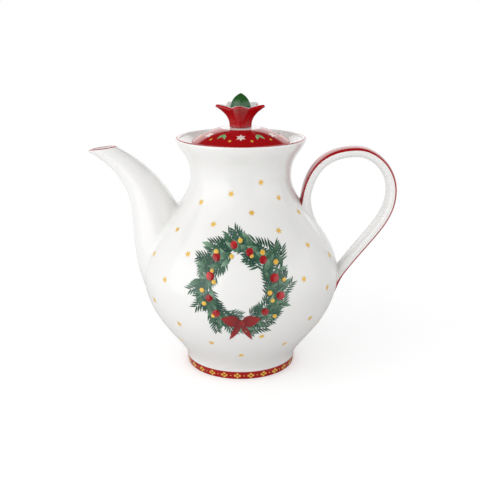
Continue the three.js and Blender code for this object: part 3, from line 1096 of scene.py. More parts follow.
    def build(self, outline: Outline, looks: Finishes) -> Object:
        """Builds the handle, rounded into the shoulder and the belly.

        Args:
            outline: The pot's outside.
            looks: The finishes.

        Returns:
            The handle.
        """
        back = self.back(outline)
        root, foot = (self.columns(edge) for edge in self.red_from)
        start = self.trim(back, outline, root, -1)
        end = self.trim(back, outline, foot, 1)
        even = np.linspace(0, 1, self.rows)
        ease = (1 - self.crowding) * even + self.crowding * (3 * even**2 - 2 * even**3)
        turn = root + (foot - root) * np.minimum(1, ease / self.red_settled)
        points, out = self.skin(back, turn, start + (end - start) * ease)
        points = outline.fillet(points, out, self.fillet).transpose(1, 0, 2).reshape(-1, 3)
        red = range(self.edge_columns, self.sides // 2 - self.edge_columns)
        tints = [int(j in red) for _ in range(self.rows - 1) for j in range(self.sides)] + [0, 0]
        faces = tube_faces(self.rows, self.sides)
        made = mesh_object("glazed_handle", points, faces, [looks.white, looks.red], tints)
        return seated(made, Body.POT, Slot.WHITE, "handle")


@dataclass
class Lid:
    """The domed lid with its flange and nose."""

    radius: float = 36.2 * MM
    low: float = 169.3 * MM
    edge: float = 3.0 * MM
    rise: float = 10.0 * MM
    fullness: float = 1.85
    boss: float = 9.2 * MM
    white_ring: float = 14.7 * MM
    wall: float = 3.4 * MM
    flange: Point2 = (29.1 * MM, 32.1 * MM)
    flange_low: float = 156.6 * MM
    nose_half: float = 4.5 * MM
    nose_reach: float = 34.9 * MM
    nose_heights: Point2 = (158.8 * MM, 163.8 * MM)
    round_by: float = 0.8 * MM
    steps: tuple[int, int, int] = (30, 34, 16)
    sides: int = 160

    def height(self, radius: np.ndarray) -> np.ndarray:
        """Gives the dome's height at distances from the axis."""
        share = np.clip((radius - self.boss) / (self.radius - self.boss), 0, 1)
        return self.low + self.edge + self.rise - self.rise * share**self.fullness

    def build(self, looks: Finishes) -> Object:
        """Builds the lid, red but for the ring round the knob.

        Args:
            looks: The finishes.

        Returns:
            The lid.
        """
        inner, outer = self.flange
        shoulder = self.radius - 2 * self.round_by
        under = np.linspace(0, inner - self.round_by, self.steps[0])
        hollow = np.column_stack([under, self.height(under) - self.wall])
        rim = softened(
            [
                tuple(hollow[-1]),
                (inner, hollow[-1, 1] - self.round_by),
                (inner, self.flange_low),
                (outer, self.flange_low),
                (outer, self.low),
                (self.radius, self.low),
                (self.radius, self.low + self.edge),
                (shoulder, float(self.height(np.array(shoulder)))),
            ],
            self.round_by,
        )
        red = np.linspace(shoulder, self.white_ring, self.steps[1])
        out = np.concatenate([red, np.linspace(self.white_ring, 0, self.steps[2])[1:]])
        profile = chain(hollow, rim, np.column_stack([out, self.height(out)]))
        radius, height = ((profile[:-1] + profile[1:]) / 2).T
        outside = (np.arange(len(radius)) > len(hollow)) & (height > self.low + self.edge / 2)
        above = height > self.height(radius) - self.round_by
        tints = (outside & above & (radius > self.white_ring)).astype(int).tolist()
        made = turned("glazed_lid", profile, tints, [looks.white, looks.red], self.sides)
        return seated(made, Body.LID, Slot.RED, "lid")

    def nose(self, looks: Finishes) -> Object:
        """Builds the nose on the flange.

        Args:
            looks: The finishes.

        Returns:
            The nose.
        """
        half, near, far = self.nose_half, self.flange[1] - self.round_by, self.nose_reach
        corners = [(0, near), (half, near), (half, far), (-half, far), (-half, near), (0, near)]
        x, y = softened(corners, self.round_by)[:-1].T
        low, high = self.nose_heights
        inset = self.round_by / 2
        levels = [(low, inset), (low + inset, 0.0), (high - inset, 0.0), (high, inset)]
        rings = [
            np.column_stack([x * (1 - cut / half), np.minimum(y, far - cut), np.full(len(x), level)])
            for level, cut in levels
        ]
        faces = tube_faces(len(levels), len(x))
        made = mesh_object("glazed_nose", np.concatenate(rings), faces, [looks.white])
        return seated(made, Body.LID, Slot.WHITE, "lid_nose")


@dataclass
class Knob:
    """The knob: a red cup flaring to five points, and the green bud in it."""

    points: int = 5
    turn: float = math.radians(265)
    low: float = 182.6 * MM
    base: Point2 = (8.4 * MM, 7.9 * MM)
    tips: Point2 = (18.9 * MM, 12.2 * MM)
    heights: Point2 = (14.8 * MM, 12.5 * MM)
    flare: float = 2.4
    wall: float = 2.2 * MM
    lip_rise: float = 0.5
    floor: float = 4.0 * MM
    crease: float = 0.14
    bud_low: float = 186.9 * MM
    bud_radius: float = 7.7 * MM
    bud_height: float = 19.8 * MM
    bud_facets: float = 0.75
    # Curve of the bud's side, as shares of its radius and height
    bud_shape: tuple[Point2, ...] = ((0.55, 0), (1.25, 0.3), (1.2, 0.82), (0.02, 1))
    bud_rows: int = 40
    columns: int = 28
    rows: int = 30
    lip_rows: int = 8

    def angles(self) -> tuple[np.ndarray, np.ndarray, float]:
        """Spreads angles round the knob.

        Returns:
            The angles, how far each lies from the nearest point, and half the angle between points.
        """
        half = math.pi / self.points
        turn = round_turn(self.points * self.columns)
        return turn + self.turn, np.abs((turn + half) % (2 * half) - half), half

    def star(self, share: float, wall: float) -> np.ndarray:
        """A star-shaped ring of the cup.

        Args:
            share: How far up the cup, from 0 to 1.
            wall: How far the ring lies inside the outside.

        Returns:
            The ring's points.
        """
        turn, off, half = self.angles()
        soft = np.sqrt(off**2 + self.crease**2) - self.crease * (1 - off / half)
        soft *= half / soft.max()
        bend = share**self.flare
        point = self.base[0] + (self.tips[0] - self.base[0]) * bend - wall
        notch = self.base[1] + (self.tips[1] - self.base[1]) * bend - wall
        radius = point * notch * math.sin(half) / (point * np.sin(soft) + notch * np.sin(half - soft))
        rise = (self.heights[0] + (self.heights[1] - self.heights[0]) * soft / half) * share
        return ring(radius, turn, self.low + self.lip_rise * wall * bend + rise)

    def cup(self, looks: Finishes) -> Object:
        """Builds the cup, red outside and white inside.

        Args:
            looks: The finishes.

        Returns:
            The cup.
        """
        start = self.floor / self.heights[1]
        outside = [self.star(share, 0.0) for share in np.linspace(0, 1, self.rows)]
        inside = [self.star(share, self.wall) for share in np.linspace(1, start, self.rows)]
        middle, half = (outside[-1] + inside[0]) / 2, (outside[-1] - inside[0]) / 2
        up = np.array([0, 0, self.wall / 2])
        lip = [middle + half * math.cos(turn) + up * math.sin(turn) for turn in half_turn(self.lip_rows)]
        inside[-1][:, 2] = self.low + self.floor
        rings = [*outside, *lip, *inside]
        count = self.points * self.columns
        red_rows = len(outside) + len(lip) // 2
        tints = [int(i >= red_rows) for i in range(len(rings) - 1) for _ in range(count)] + [0, 1]
        faces = tube_faces(len(rings), count)
        made = mesh_object("red_cup", np.concatenate(rings), faces, [looks.red, looks.white], tints)
        return seated(made, Body.LID, Slot.RED, "knob_cup")

    def bud(self, looks: Finishes) -> Object:
        """Builds the bud, a pointed egg with five soft facets.

        Args:
            looks: The finishes.

        Returns:
            The bud.
        """
        turn, off, half = self.angles()
        facet = math.cos(half) / np.cos(half - off)
        ridge = 1 + self.bud_facets * (facet / facet.max() - 1)
        rings = [
            ring(self.bud_radius * wide * ridge, turn, self.bud_low + self.bud_height * high)
            for wide, high in bezier(self.bud_shape, self.bud_rows)
        ]
        faces = tube_faces(len(rings), len(turn))
        made = mesh_object("green_bud", np.concatenate(rings), faces, [looks.bud])
        return seated(made, Body.LID, Slot.GREEN, "knob_bud")


class Patch(NamedTuple):
    """A patch of print: its points, its faces, and each point's share of the length."""

    points: list[Point3]
    faces: list[tuple[int, ...]]
    shares: list[float]

    def placed(
        self, turn: float = 0.0, at: Point2 = (0.0, 0.0), lift: float = 0.0, size: float = 1.0
    ) -> "Patch":
        """Turns, moves and sizes the patch.

        Args:
            turn: Angle that it is turned by about its start.
            at: Where its start goes.
            lift: How far it is raised.
            size: Its new size.

        Returns:
            The new patch.
        """
        c, s = math.cos(turn) * size, math.sin(turn) * size
        points = [(at[0] + c * x - s * y, at[1] + s * x + c * y, z + lift) for x, y, z in self.points]
        return self._replace(points=points)


def pattern(name: str, patches: list[Patch]) -> Object:
    """Makes a hidden pattern of patches for rings of motifs.

    Args:
        name: The pattern's name.
        patches: Its patches.

    Returns:
        The pattern.
    """
    points, faces, shares = [], [], []
    for patch in patches:
        start = len(points)
        points += patch.points
        shares += patch.shares
        faces += [tuple(start + i for i in face) for face in patch.faces]
    made = mesh_object(PATTERN + name, np.array(points), faces, [])
    for label, values in (("lift", [point[2] for point in points]), ("along", shares)):
        made.data.attributes.new(label, "FLOAT", "POINT").data.foreach_set("value", values)
    return made


@dataclass(frozen=True)
class Motif:
    """A thin closed patch of print, lying flat: X is its length, Y its width and Z its thickness."""

    outline: tuple[Point2, ...]
    thickness: float = 0.10 * MM
    crown: float = 0.0
    crown_steps: tuple[Point2, ...] = ((0.72, 0.6), (0.35, 1.0))

    @classmethod
    def leaf(
        cls, length: float, width: float, waves: int = 0, fullness: float = 0.8, scallop: float = 0.22
    ) -> "Motif":
        """Draws a pointed leaf.

        Args:
            length: Its length.
            width: Its width.
            waves: Number of scallops on each side.
            fullness: Under 1 for a leaf that is widest near its start.
            scallop: Depth of the scallops, as a share of the width.

        Returns:
            The leaf.
        """
        share = np.linspace(0, 1, 4 * waves + 9)
        side = np.sin(math.pi * share**fullness) * (1 - scallop * np.abs(np.sin(waves * math.pi * share)))
        top = [(length * s, width / 2 * w) for s, w in zip(share, side)]
        return cls((*[(x, -y) for x, y in top], *top[-2:0:-1]))

    @classmethod
    def star(cls, points: int, outer: float, inner: float) -> "Motif":
        """Draws a star.

        Args:
            points: Its number of points.
            outer: Radius of the points.
            inner: Radius of the notches.

        Returns:
            The star.
        """
        turns = [math.pi * i / points for i in range(2 * points)]
        reach = [outer, inner] * points
        return cls(tuple((r * math.cos(t), r * math.sin(t)) for r, t in zip(reach, turns)))

    @classmethod
    def disc(cls, radius: float, crown: float = 0.0, sides: int = 16) -> "Motif":
        """Draws a disc whose middle rises by its crown."""
        turns = [FULL_TURN * i / sides for i in range(sides)]
        return cls(tuple((radius * math.cos(t), radius * math.sin(t)) for t in turns), crown=crown)

    def patch(self) -> Patch:
        """Gives the motif its thickness.

        Returns:
            The patch.
        """
        xs = [x for x, _ in self.outline]
        low, span = min(xs), max(max(xs) - min(xs), TINY)
        levels = [(1.0, 0.0), (1.0, self.thickness)]
        if self.crown:
            levels += [(size, self.thickness + rise * self.crown) for size, rise in self.crown_steps]
        points = [(x * size, y * size, z) for size, z in levels for x, y in self.outline]
        shares = [(x * size - low) / span for size, _ in levels for x in xs]
        return Patch(points, tube_faces(len(levels), len(xs)), shares)

    def template(self, name: str) -> Object:
        """Makes the motif's pattern."""
        return pattern(name, [self.patch()])


@dataclass(frozen=True)
class Sprig:
    """A fir sprig: a fan of needles along a twig."""

    needles: int = 5
    needle: Point2 = (6.5 * MM, 1.3 * MM)
    twig: float = 7.15 * MM
    spread: float = math.radians(50)
    closing: float = 0.45
    shrink: float = 0.25
    layer: float = 0.01 * MM
    root_tone: float = 0.2

    def template(self) -> Object:
        """Makes the sprig's pattern.

        Returns:
            The pattern.
        """
        flat = Motif.leaf(*self.needle).patch()
        shares = [self.root_tone + (1 - self.root_tone) * share for share in flat.shares]
        needle = flat._replace(shares=shares)
        patches = []
        for i in range(self.needles):
            at = (self.twig * i / (self.needles - 1), 0.0)
            size = 1 - self.shrink * i / self.needles
            for side in (-1, 1):
                turn = side * self.spread * (1 - self.closing * i / self.needles)
                patches.append(needle.placed(turn, at, self.layer * (i + (side > 0)), size))
        return pattern("fir_sprig", patches)


@dataclass(frozen=True)
class Bow:
    """A ribbon bow: two tails, two loops over them, and the knot on top."""

    tail: Point2 = (17.0 * MM, 4.2 * MM)
    loop: Point2 = (14.0 * MM, 9.0 * MM)
    knot: Point2 = (2.6 * MM, 0.3 * MM)
    tail_turns: Point2 = (-62.0, -118.0)
    loop_turns: Point2 = (14.0, 166.0)
    layers: tuple[float, ...] = (0.0, 0.02 * MM, 0.06 * MM, 0.08 * MM, 0.2 * MM)

    def template(self) -> Object:
        """Makes the bow's pattern.

        Returns:
            The pattern.
        """
        tail, loop = (Motif.leaf(*size).patch() for size in (self.tail, self.loop))
        knot = Motif.disc(*self.knot).patch()
        turns = np.radians([*self.tail_turns, *self.loop_turns, 0.0])
        stack = zip((tail, tail, loop, loop, knot), turns, self.layers)
        return pattern("ribbon_bow", [patch.placed(turn, lift=lift) for patch, turn, lift in stack])


@dataclass
class MotifTree:
    """A node tree that sets motifs on a ring or a spiral and lays them onto a piece."""

    ground: Ground
    outside: float = 0.3
    overhead: float = 0.4
    ray_length: float = 1.0
    tones: Point2 = (0.1, 1.0)
    nodes: Nodes = field(init=False)
    given: Sockets = field(init=False)
    index: NodeSocket = field(init=False)

    def __post_init__(self) -> None:
        """Starts the tree with its named inputs."""
        ringing = ("Radius", "Spread", "Turn", "Phase", "Jitter", "Lean", "Lean Spread", "Small", "Large")
        rising = ("Height", "Rise", "Lift", "Clear", "Bare", "Bare Height")
        inputs = {
            "Geometry": GEOMETRY,
            "Motif": OBJECT,
            "Target": OBJECT,
            "Material": "NodeSocketMaterial",
            "Count": WHOLE,
            "Seed": WHOLE,
            **dict.fromkeys([*ringing, *rising], NUMBER),
        }
        name = f"motifs_{self.ground.value}"
        self.nodes = Nodes.group(name, "GeometryNodeTree", inputs, {"Geometry": GEOMETRY})
        self.given = self.nodes.given()
        self.index = self.nodes.first("GeometryNodeInputIndex")

    def chance(self, low: Number, high: Number, salt: int) -> NodeSocket:
        """A random number for each motif.

        Args:
            low: The least it can be.
            high: The most it can be.
            salt: Tells one random number from another.

        Returns:
            The number.
        """
        seed = self.nodes.maths("ADD", self.given["Seed"], float(salt))
        values = {2: low, 3: high, 7: self.index, 8: seed}
        return self.nodes.add("FunctionNodeRandomValue", values, data_type="FLOAT").outputs[1]

    def shaken(self, value: NodeSocket, size: NodeSocket, salt: int) -> NodeSocket:
        """Moves a number by chance, by up to a size either way."""
        least = self.nodes.maths("MULTIPLY", size, -1.0)
        return self.nodes.maths("ADD", value, self.chance(least, size, salt))

    def attribute(self, label: str, kind: str) -> NodeSocket:
        """Reads a named attribute."""
        return self.nodes.first("GeometryNodeInputNamedAttribute", {"Name": label}, data_type=kind)

    def stored(self, on: NodeSocket, label: str, value: NodeSocket, kind: str, domain: str) -> NodeSocket:
        """Stores a named attribute."""
        values = {"Geometry": on, "Name": label, "Value": value}
        return self.nodes.first("GeometryNodeStoreNamedAttribute", values, data_type=kind, domain=domain)

    def here(self) -> Sockets:
        """Gives the three numbers of a point's place."""
        return self.nodes.parts(self.nodes.first("GeometryNodeInputPosition"))

    def seats(self) -> tuple[NodeSocket, NodeSocket, NodeSocket]:
        """Works out where each motif sits.

        Returns:
            Its place, the way of its length, and the way up from the glaze.
        """
        nodes, given, maths = self.nodes, self.given, self.nodes.maths
        angle = maths("MULTIPLY_ADD", self.index, given["Turn"], given["Phase"])
        angle = self.shaken(angle, given["Jitter"], 1)
        reach = self.shaken(given["Radius"], given["Spread"], 2)
        lean = self.shaken(given["Lean"], given["Lean Spread"], 3)
        cos, sin = maths("COSINE", angle), maths("SINE", angle)
        x, y = maths("MULTIPLY", cos, reach), maths("MULTIPLY", sin, reach)
        share = maths("DIVIDE", self.index, maths("MAXIMUM", given["Count"], 1.0))
        level = maths("MULTIPLY_ADD", share, given["Rise"], given["Height"])
        if self.ground is Ground.ROUND:
            flat = maths("COSINE", lean)
            back = maths("MULTIPLY", maths("MULTIPLY", sin, flat), -1.0)
            along = nodes.vector(back, maths("MULTIPLY", cos, flat), maths("SINE", lean))
            return nodes.vector(x, y, level), along, self.attribute("up", "FLOAT_VECTOR")
        heading = maths("ADD", angle, lean)
        ahead, aside = maths("COSINE", heading), maths("SINE", heading)
        if self.ground is Ground.TOP:
            return nodes.vector(x, y, level), nodes.vector(ahead, aside, 0.0), nodes.vector(0.0, 0.0, 1.0)
        place = nodes.vector(x, 0.0, maths("ADD", y, level))
        return place, nodes.vector(ahead, 0.0, aside), nodes.vector(0.0, -1.0, 0.0)

    def free(self) -> NodeSocket:
        """Tells which motifs keep clear of the pot's middle plane and of a bare disc on the front.

        Returns:
            The choice.
        """
        maths, given, at = self.nodes.maths, self.given, self.here()
        clear = maths("GREATER_THAN", maths("ABSOLUTE", at["Y"]), given["Clear"])
        drop = maths("SUBTRACT", at["Z"], given["Bare Height"])
        away = self.nodes.length(self.nodes.vector(at["X"], maths("MAXIMUM", at["Y"], 0.0), drop))
        return maths("MULTIPLY", clear, maths("GREATER_THAN", away, given["Bare"]))

    def ray(self, target: NodeSocket) -> Sockets:
        """Sends a ray from outside through each point onto a piece.

        Args:
            target: The piece.

        Returns:
            What the ray finds.
        """
        nodes, at = self.nodes, self.here()
        if self.ground is Ground.FRONT:
            source, way = nodes.vector(at["X"], -self.outside, at["Z"]), nodes.vector(0.0, 1.0, 0.0)
        elif self.ground is Ground.TOP:
            source, way = nodes.vector(at["X"], at["Y"], self.overhead), nodes.vector(0.0, 0.0, -1.0)
        else:
            flat = nodes.vector(at["X"], at["Y"], 0.0)
            outward = nodes.first("ShaderNodeVectorMath", {0: flat}, operation="NORMALIZE")
            source = nodes.moved(nodes.scaled(outward, self.outside), nodes.vector(0.0, 0.0, at["Z"]))
            way = nodes.scaled(outward, -1.0)
        aim = {"Source Position": source, "Ray Direction": way, "Ray Length": self.ray_length}
        return nodes.add("GeometryNodeRaycast", {"Target Geometry": target, **aim}).outputs

    def build(self) -> NodeTree:
        """Builds the tree.

        Returns:
            The tree.
        """
        nodes, given = self.nodes, self.given
        place, along, up = self.seats()
        target, motif = (
            nodes.add("GeometryNodeObjectInfo", {"Object": given[label]}).outputs["Geometry"]
            for label in ("Target", "Motif")
        )
        points = nodes.first("GeometryNodePoints", {"Count": given["Count"], "Position": place})
        if self.ground is Ground.ROUND:
            hit = self.ray(target)
            points = self.stored(points, "up", hit["Hit Normal"], "FLOAT_VECTOR", "POINT")
            seat = {"Geometry": points, "Position": hit["Hit Position"]}
            points = nodes.first("GeometryNodeSetPosition", seat)
        size = self.chance(given["Small"], given["Large"], 4)
        axes = {"primary_axis": "X", "secondary_axis": "Z"}
        seating = {
            "Points": points,
            "Selection": self.free(),
            "Instance": motif,
            "Rotation": nodes.first("FunctionNodeAxesToRotation", {0: along, 1: up}, **axes),
            "Scale": nodes.vector(size, size, 1.0),
        }
        motifs = nodes.first("GeometryNodeInstanceOnPoints", seating)
        motifs = self.stored(motifs, "tone", self.chance(*self.tones, 5), "FLOAT", "INSTANCE")
        motifs = nodes.first("GeometryNodeRealizeInstances", {0: motifs})
        hit = self.ray(target)
        height = nodes.maths("ADD", self.attribute("lift", "FLOAT"), given["Lift"])
        onto = nodes.moved(hit["Hit Position"], nodes.scaled(hit["Hit Normal"], height))
        laying = {"Geometry": motifs, "Selection": hit["Is Hit"], "Position": onto}
        motifs = nodes.first("GeometryNodeSetPosition", laying)
        motifs = nodes.first("GeometryNodeRealizeInstances", {0: motifs})
        dressing = {"Geometry": motifs, "Material": given["Material"]}
        nodes.add("NodeGroupOutput", {"Geometry": nodes.first("GeometryNodeSetMaterial", dressing)})
        return nodes.tree


@dataclass
class Rings:
    """Rings of motifs laid onto the glaze, one node tree for each way of laying."""

    trees: dict[Ground, NodeTree] = field(default_factory=dict)

    def lay(self, name: str, ground: Ground, body: Body, slot: Slot, **values) -> Object:
        """Lays a ring of motifs.

        Args:
            name: The piece's name.
            ground: The way of laying.
            body: The body it rides on.
            slot: The record's finish it takes.
            values: The tree's inputs by name, with _ for a space.

        Returns:
            The piece.
        """
        if ground not in self.trees:
            self.trees[ground] = MotifTree(ground).build()
        made = bpy.data.objects.new(name, bpy.data.meshes.new(name))
        bpy.context.collection.objects.link(made)
        rule = made.modifiers.new("motifs", "NODES")
        rule.node_group = self.trees[ground]
        usual = {"Small": 1.0, "Large": 1.0, "Clear": -1.0, "Bare": -1.0, "Turn": FULL_TURN / values["Count"]}
        whole = {**usual, **values}
        for item in rule.node_group.interface.items_tree:
            label = item.name.replace(" ", "_")
            if item.in_out == "INPUT" and label in whole:
                rule[item.identifier] = whole[label]
        baked(made)
        return seated(made, body, slot)


@dataclass(frozen=True)
class Scatter:
    """How one kind of motif lies in the wreath, all round it or with a gap at its foot."""

    name: str
    count: int
    seed: int
    spread: float
    jitter: float
    sizes: Point2
    lift: float
    lean: Point2 = (0.0, 0.0)
    gapped: bool = False

    def values(self, gap: float) -> dict[str, float]:
        """Lists the inputs of the motif's ring.

        Args:
            gap: Angle of the gap, to each side.

        Returns:
            The inputs by name.
        """
        values = {
            "Count": self.count,
            "Seed": self.seed,
            "Spread": self.spread,
            "Jitter": self.jitter,
            "Small": self.sizes[0],
            "Large": self.sizes[1],
            "Lift": self.lift,
            "Lean": self.lean[0],
            "Lean_Spread": self.lean[1],
        }
        if self.gapped:
            values["Phase"] = gap - QUARTER_TURN
            values["Turn"] = (FULL_TURN - 2 * gap) / (self.count - 1)
        return values


@dataclass
class Decoration:
    """The printed decoration: gold stars, a foot border, a wreath on the front, and sprigs on the lid."""

    looks: Finishes
    rings: Rings = field(default_factory=Rings)
    skin: float = 0.02 * MM
    star_points: int = 6
    star_radii: Point2 = (2.6 * MM, 1.17 * MM)
    star_count: int = 84
    star_phase: float = 0.3
    star_ring: float = 100.0 * MM
    star_heights: Point2 = (151.0 * MM, 23.0 * MM)
    spout_clear: float = 21.0 * MM
    wreath_clear: float = 38.0 * MM
    border_count: int = 26
    border_phase: float = 0.06
    border_ring: float = 50.0 * MM
    border_height: float = 3.0 * MM
    petal: tuple[float, float, int] = (0.92 * MM, 0.0, 10)
    petal_shift: Point2 = (1.7 * MM, 1.3 * MM)
    dot: tuple[float, float, int] = (0.45 * MM, 0.0, 8)
    wreath_height: float = 82.0 * MM
    wreath_radius: float = 25.0 * MM
    holly: tuple[float, float, int] = (9.0 * MM, 3.6 * MM, 3)
    berry: tuple[float, float, int] = (2.7 * MM, 0.5 * MM, 18)
    bead: tuple[float, float, int] = (1.5 * MM, 0.3 * MM, 12)
    fir: Scatter = Scatter("wreath_fir", 120, 11, 6.5 * MM, 0.04, (0.8, 1.15), 0.02 * MM, (1.2, 0.9))
    leaves: Scatter = Scatter("wreath_leaves", 90, 23, 6.0 * MM, 0.05, (0.7, 1.1), 0.16 * MM, (1.0, 1.1))
    berries: Scatter = Scatter("wreath_berries", 10, 31, 3.5 * MM, 0.1, (0.9, 1.1), 0.3 * MM, gapped=True)
    beads: Scatter = Scatter("wreath_beads", 15, 37, 6.5 * MM, 0.1, (0.85, 1.15), 0.3 * MM, gapped=True)
    bow_gap: float = math.radians(44)
    bow_lift: float = 0.4 * MM
    lid_count: int = 6
    lid_height: float = 180.0 * MM
    lid_radii: Point3 = (23.0 * MM, 26.0 * MM, 30.0 * MM)
    lid_leaf: tuple[float, float, int] = (6.4 * MM, 2.9 * MM, 2)
    lid_leaf_turn: float = 0.5
    flower_radii: Point2 = (3.8 * MM, 1.9 * MM)
    lid_star_radii: Point2 = (1.3 * MM, 0.6 * MM)

    def stars(self, target: Object) -> None:
        """Scatters small gold stars over the body.

        Args:
            target: The body.
        """
        values = {
            "Motif": Motif.star(self.star_points, *self.star_radii).template("star"),
            "Target": target,
            "Material": self.looks.gold,
            "Count": self.star_count,
            "Radius": self.star_ring,
            "Turn": GOLDEN_TURN,
            "Phase": self.star_phase,
            "Height": self.star_heights[0],
            "Rise": self.star_heights[1] - self.star_heights[0],
            "Lift": self.skin,
            "Clear": self.spout_clear,
            "Bare": self.wreath_clear,
            "Bare_Height": self.wreath_height,
            "Seed": 4,
        }
        self.rings.lay("gold_stars", Ground.ROUND, Body.POT, Slot.WHITE, **values)

    def border(self, target: Object) -> None:
        """Lays a border of gold crosses and dots round the foot.

        Args:
            target: The body.
        """
        petal = Motif.disc(*self.petal).patch()
        along, up = self.petal_shift
        shifts = ((along, 0.0), (-along, 0.0), (0.0, up), (0.0, -up))
        cross = pattern("border_cross", [petal.placed(at=shift) for shift in shifts])
        dot = Motif.disc(*self.dot).template("border_dot")
        half = FULL_TURN / self.border_count / 2
        shared = {
            "Target": target,
            "Material": self.looks.gold,
            "Count": self.border_count,
            "Radius": self.border_ring,
            "Height": self.border_height,
            "Lift": self.skin,
        }
        for name, motif, phase in (("border_crosses", cross, 0.0), ("border_dots", dot, half)):
            values = {"Motif": motif, "Phase": self.border_phase + phase, **shared}
            self.rings.lay(name, Ground.ROUND, Body.POT, Slot.WHITE, **values)

    def wreath(self, target: Object) -> None:
        """Lays a wreath of fir, leaves and berries onto the front, with a ribbon bow at its foot.

        Args:
            target: The body.
        """
        looks = self.looks
        motifs = (
            (self.fir, Sprig().template(), looks.fir),
            (self.leaves, Motif.leaf(*self.holly).template("holly_leaf"), looks.leaf),
            (self.berries, Motif.disc(*self.berry).template("berry"), looks.berry),
            (self.beads, Motif.disc(*self.bead).template("bead"), looks.gold),
        )
        front = (Ground.FRONT, Body.POT, Slot.WHITE)
        shared = {"Target": target, "Height": self.wreath_height, "Radius": self.wreath_radius}
        for scatter, motif, material in motifs:
            values = {"Motif": motif, "Material": material, **shared, **scatter.values(self.bow_gap)}
            self.rings.lay(scatter.name, *front, **values)
        bow = {"Motif": Bow().template(), "Material": looks.ribbon, "Count": 1, "Lift": self.bow_lift}
        heading = {"Phase": -QUARTER_TURN, "Lean": QUARTER_TURN, "Seed": 3}
        self.rings.lay("wreath_bow", *front, **bow, **heading, **shared)

    def lid_sprigs(self, target: Object) -> None:
        """Lays leaf sprigs, pale flowers and gold stars onto the lid.

        Args:
            target: The lid.
        """
        looks, count, points = self.looks, self.lid_count, self.star_points
        leaf = Motif.leaf(*self.lid_leaf).patch()
        twig = pattern("leaf_pair", [leaf.placed(side * self.lid_leaf_turn) for side in (-1, 1)])
        flower = Motif.star(points, *self.flower_radii).template("pale_flower")
        star = Motif.star(points, *self.lid_star_radii).template("lid_star")
        half = math.pi / count
        rows = (
            ("lid_leaves", twig, looks.mint, count, half, 5),
            ("lid_flowers", flower, looks.pale, count, 0.0, 6),
            ("lid_stars", star, looks.gold, 2 * count, half / 2, 7),
        )
        for (name, motif, material, number, phase, seed), radius in zip(rows, self.lid_radii):
            values = {
                "Motif": motif,
                "Target": target,
                "Material": material,
                "Count": number,
                "Radius": radius,
                "Phase": phase - QUARTER_TURN,
                "Height": self.lid_height,
                "Lift": self.skin,
                "Seed": seed,
            }
            self.rings.lay(name, Ground.TOP, Body.LID, Slot.RED, **values)


@dataclass(frozen=True)
class Panel:
    """A soft light panel that faces the pot, mirrored in the glaze or not."""

    name: str
    place: Point3
    size: Point2
    power: float
    mirrored: bool = True

    def hang(self, aim: float) -> None:
        """Hangs the panel.

        Args:
            aim: Height of the place on the pot's axis that it faces.
        """
        light = bpy.data.lights.new(self.name, "AREA")
        light.shape = "RECTANGLE"
        light.size, light.size_y = self.size
        light.energy = self.power
        made = bpy.data.objects.new(self.name, light)
        made.location = self.place
        made.visible_camera = False
        made.visible_glossy = self.mirrored
        x, y, z = self.place
        made.rotation_euler = (math.atan2(math.hypot(x, y), z - aim), 0, math.atan2(-x, y) + math.pi)
        bpy.context.collection.objects.link(made)


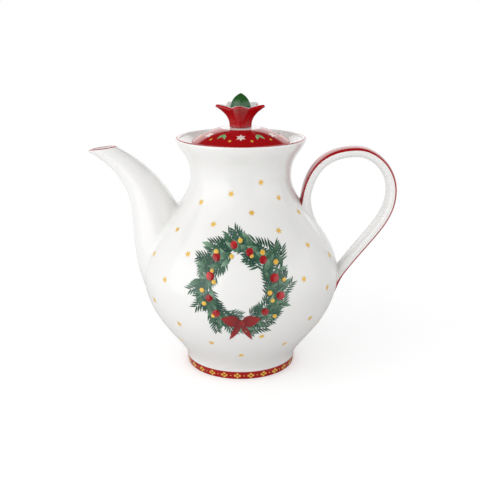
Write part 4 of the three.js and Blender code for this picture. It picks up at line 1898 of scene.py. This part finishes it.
@dataclass
class Studio:
    """A pale floor, soft light from large panels, and the camera of the photograph."""

    floor_size: float = 6.0
    floor_tone: float = 0.78
    floor_roughness: float = 0.9
    fade: Point2 = (0.16, 0.34)
    # Light from below and above the horizon
    surround: Point2 = (0.78, 0.57)
    # What the glaze mirrors: bright sides and back, dark front and ceiling, and where these start
    mirrored: Point2 = (0.95, 0.05)
    ceiling_from: Point2 = (0.42, 0.56)
    sides_from: Point2 = (0.4, 0.52)
    back_from: Point2 = (-0.1, 0.1)
    horizon: Point2 = (-0.2, 0.05)
    glow: float = 0.37
    aim: float = 0.1
    camera_place: Point3 = (-0.0006, -0.585, 0.2617)
    camera_pitch: float = 15.8
    lens: float = 59.9
    sensor: float = 36.0
    panels: tuple[Panel, ...] = (
        Panel("left_panel", (-1.4, -1.0, 0.6), (2.4, 2.2), 16.5),
        Panel("right_panel", (1.5, -0.5, 0.6), (1.6, 1.6), 3.0),
        Panel("top_panel", (0.0, 0.1, 1.9), (1.8, 1.8), 3.4, mirrored=False),
        Panel("back_panel", (0.0, 1.7, 0.75), (3.0, 0.9), 5.5),
        Panel("front_panel", (-0.3, -1.7, 0.5), (1.6, 1.2), 7.0, mirrored=False),
    )

    def floor(self) -> None:
        """Lays the floor, which fades into the white room."""
        half, tone = self.floor_size / 2, self.floor_tone
        points = np.array([(-half, -half, 0), (half, -half, 0), (half, half, 0), (-half, half, 0)])
        material, nodes, shader = new_material("pale_floor")
        seen = nodes.add("ShaderNodeLightPath").outputs["Is Camera Ray"]
        looks = {
            "Base Color": (tone, tone, tone, 1),
            "Roughness": self.floor_roughness,
            "Specular IOR Level": 0.0,
            "Alpha": nodes.maths("SUBTRACT", 1.0, nodes.step_up(nodes.length(nodes.place()), self.fade)),
            "Emission Color": WHITE,
            "Emission Strength": nodes.maths("MULTIPLY", seen, self.glow),
        }
        nodes.feed(shader, looks)
        mesh_object("floor", points, [(0, 1, 2, 3)], [material])

    def surroundings(self) -> None:
        """Makes the room white to the camera, softly grey to the pot, and mirrored with a dark ceiling."""
        world = bpy.data.worlds.new("room")
        world.use_nodes = True
        bpy.context.scene.world = world
        nodes = Nodes(world.node_tree)
        nodes.tree.nodes.clear()
        maths = nodes.maths
        way = nodes.parts(nodes.add("ShaderNodeTexCoord").outputs["Generated"])
        table, room = self.surround
        wall, shade = self.mirrored
        soft = maths("MULTIPLY_ADD", nodes.step_up(way["Z"], self.horizon), room - table, table)
        aside = nodes.step_up(maths("ABSOLUTE", way["X"]), self.sides_from)
        behind = nodes.step_up(way["Y"], self.back_from)
        below = maths("SUBTRACT", 1.0, nodes.step_up(way["Z"], self.ceiling_from))
        bright = maths("MULTIPLY", maths("MAXIMUM", aside, behind), wall - shade)
        glossy = maths("MULTIPLY_ADD", below, bright, shade)
        seen, light, mirror = (
            nodes.first("ShaderNodeBackground", {"Color": WHITE, "Strength": strength})
            for strength in (1.0, soft, glossy)
        )
        ray = nodes.add("ShaderNodeLightPath").outputs
        unseen = nodes.first("ShaderNodeMixShader", {0: ray["Is Glossy Ray"], 1: light, 2: mirror})
        whole = nodes.first("ShaderNodeMixShader", {0: ray["Is Camera Ray"], 1: unseen, 2: seen})
        nodes.add("ShaderNodeOutputWorld", {"Surface": whole})

    def camera(self) -> None:
        """Sets up the camera."""
        lens = bpy.data.cameras.new("camera")
        lens.lens, lens.sensor_width = self.lens, self.sensor
        made = bpy.data.objects.new("camera", lens)
        made.location = self.camera_place
        made.rotation_euler = (QUARTER_TURN - math.radians(self.camera_pitch), 0, 0)
        bpy.context.collection.objects.link(made)
        bpy.context.scene.camera = made

    def build(self) -> None:
        """Builds the whole studio."""
        self.floor()
        self.surroundings()
        for panel in self.panels:
            panel.hang(self.aim)
        self.camera()
        bpy.context.scene.view_settings.view_transform = "Standard"


def main() -> None:
    """Builds the pot and its studio."""
    logging.basicConfig(level=logging.INFO, format="%(message)s")
    Studio().build()
    looks = Finishes.make()
    pot = PotBody()
    body = pot.build(looks)
    Spout().build(pot.outline, looks)
    Handle().build(pot.outline, looks)
    lid = Lid()
    dome = lid.build(looks)
    lid.nose(looks)
    knob = Knob()
    knob.cup(looks)
    knob.bud(looks)
    decoration = Decoration(looks)
    decoration.stars(body)
    decoration.border(body)
    decoration.wreath(body)
    decoration.lid_sprigs(dome)
    for spare in [made for made in bpy.data.objects if made.name.startswith(PATTERN)]:
        bpy.data.objects.remove(spare)


if __name__ == "__main__":
    main()
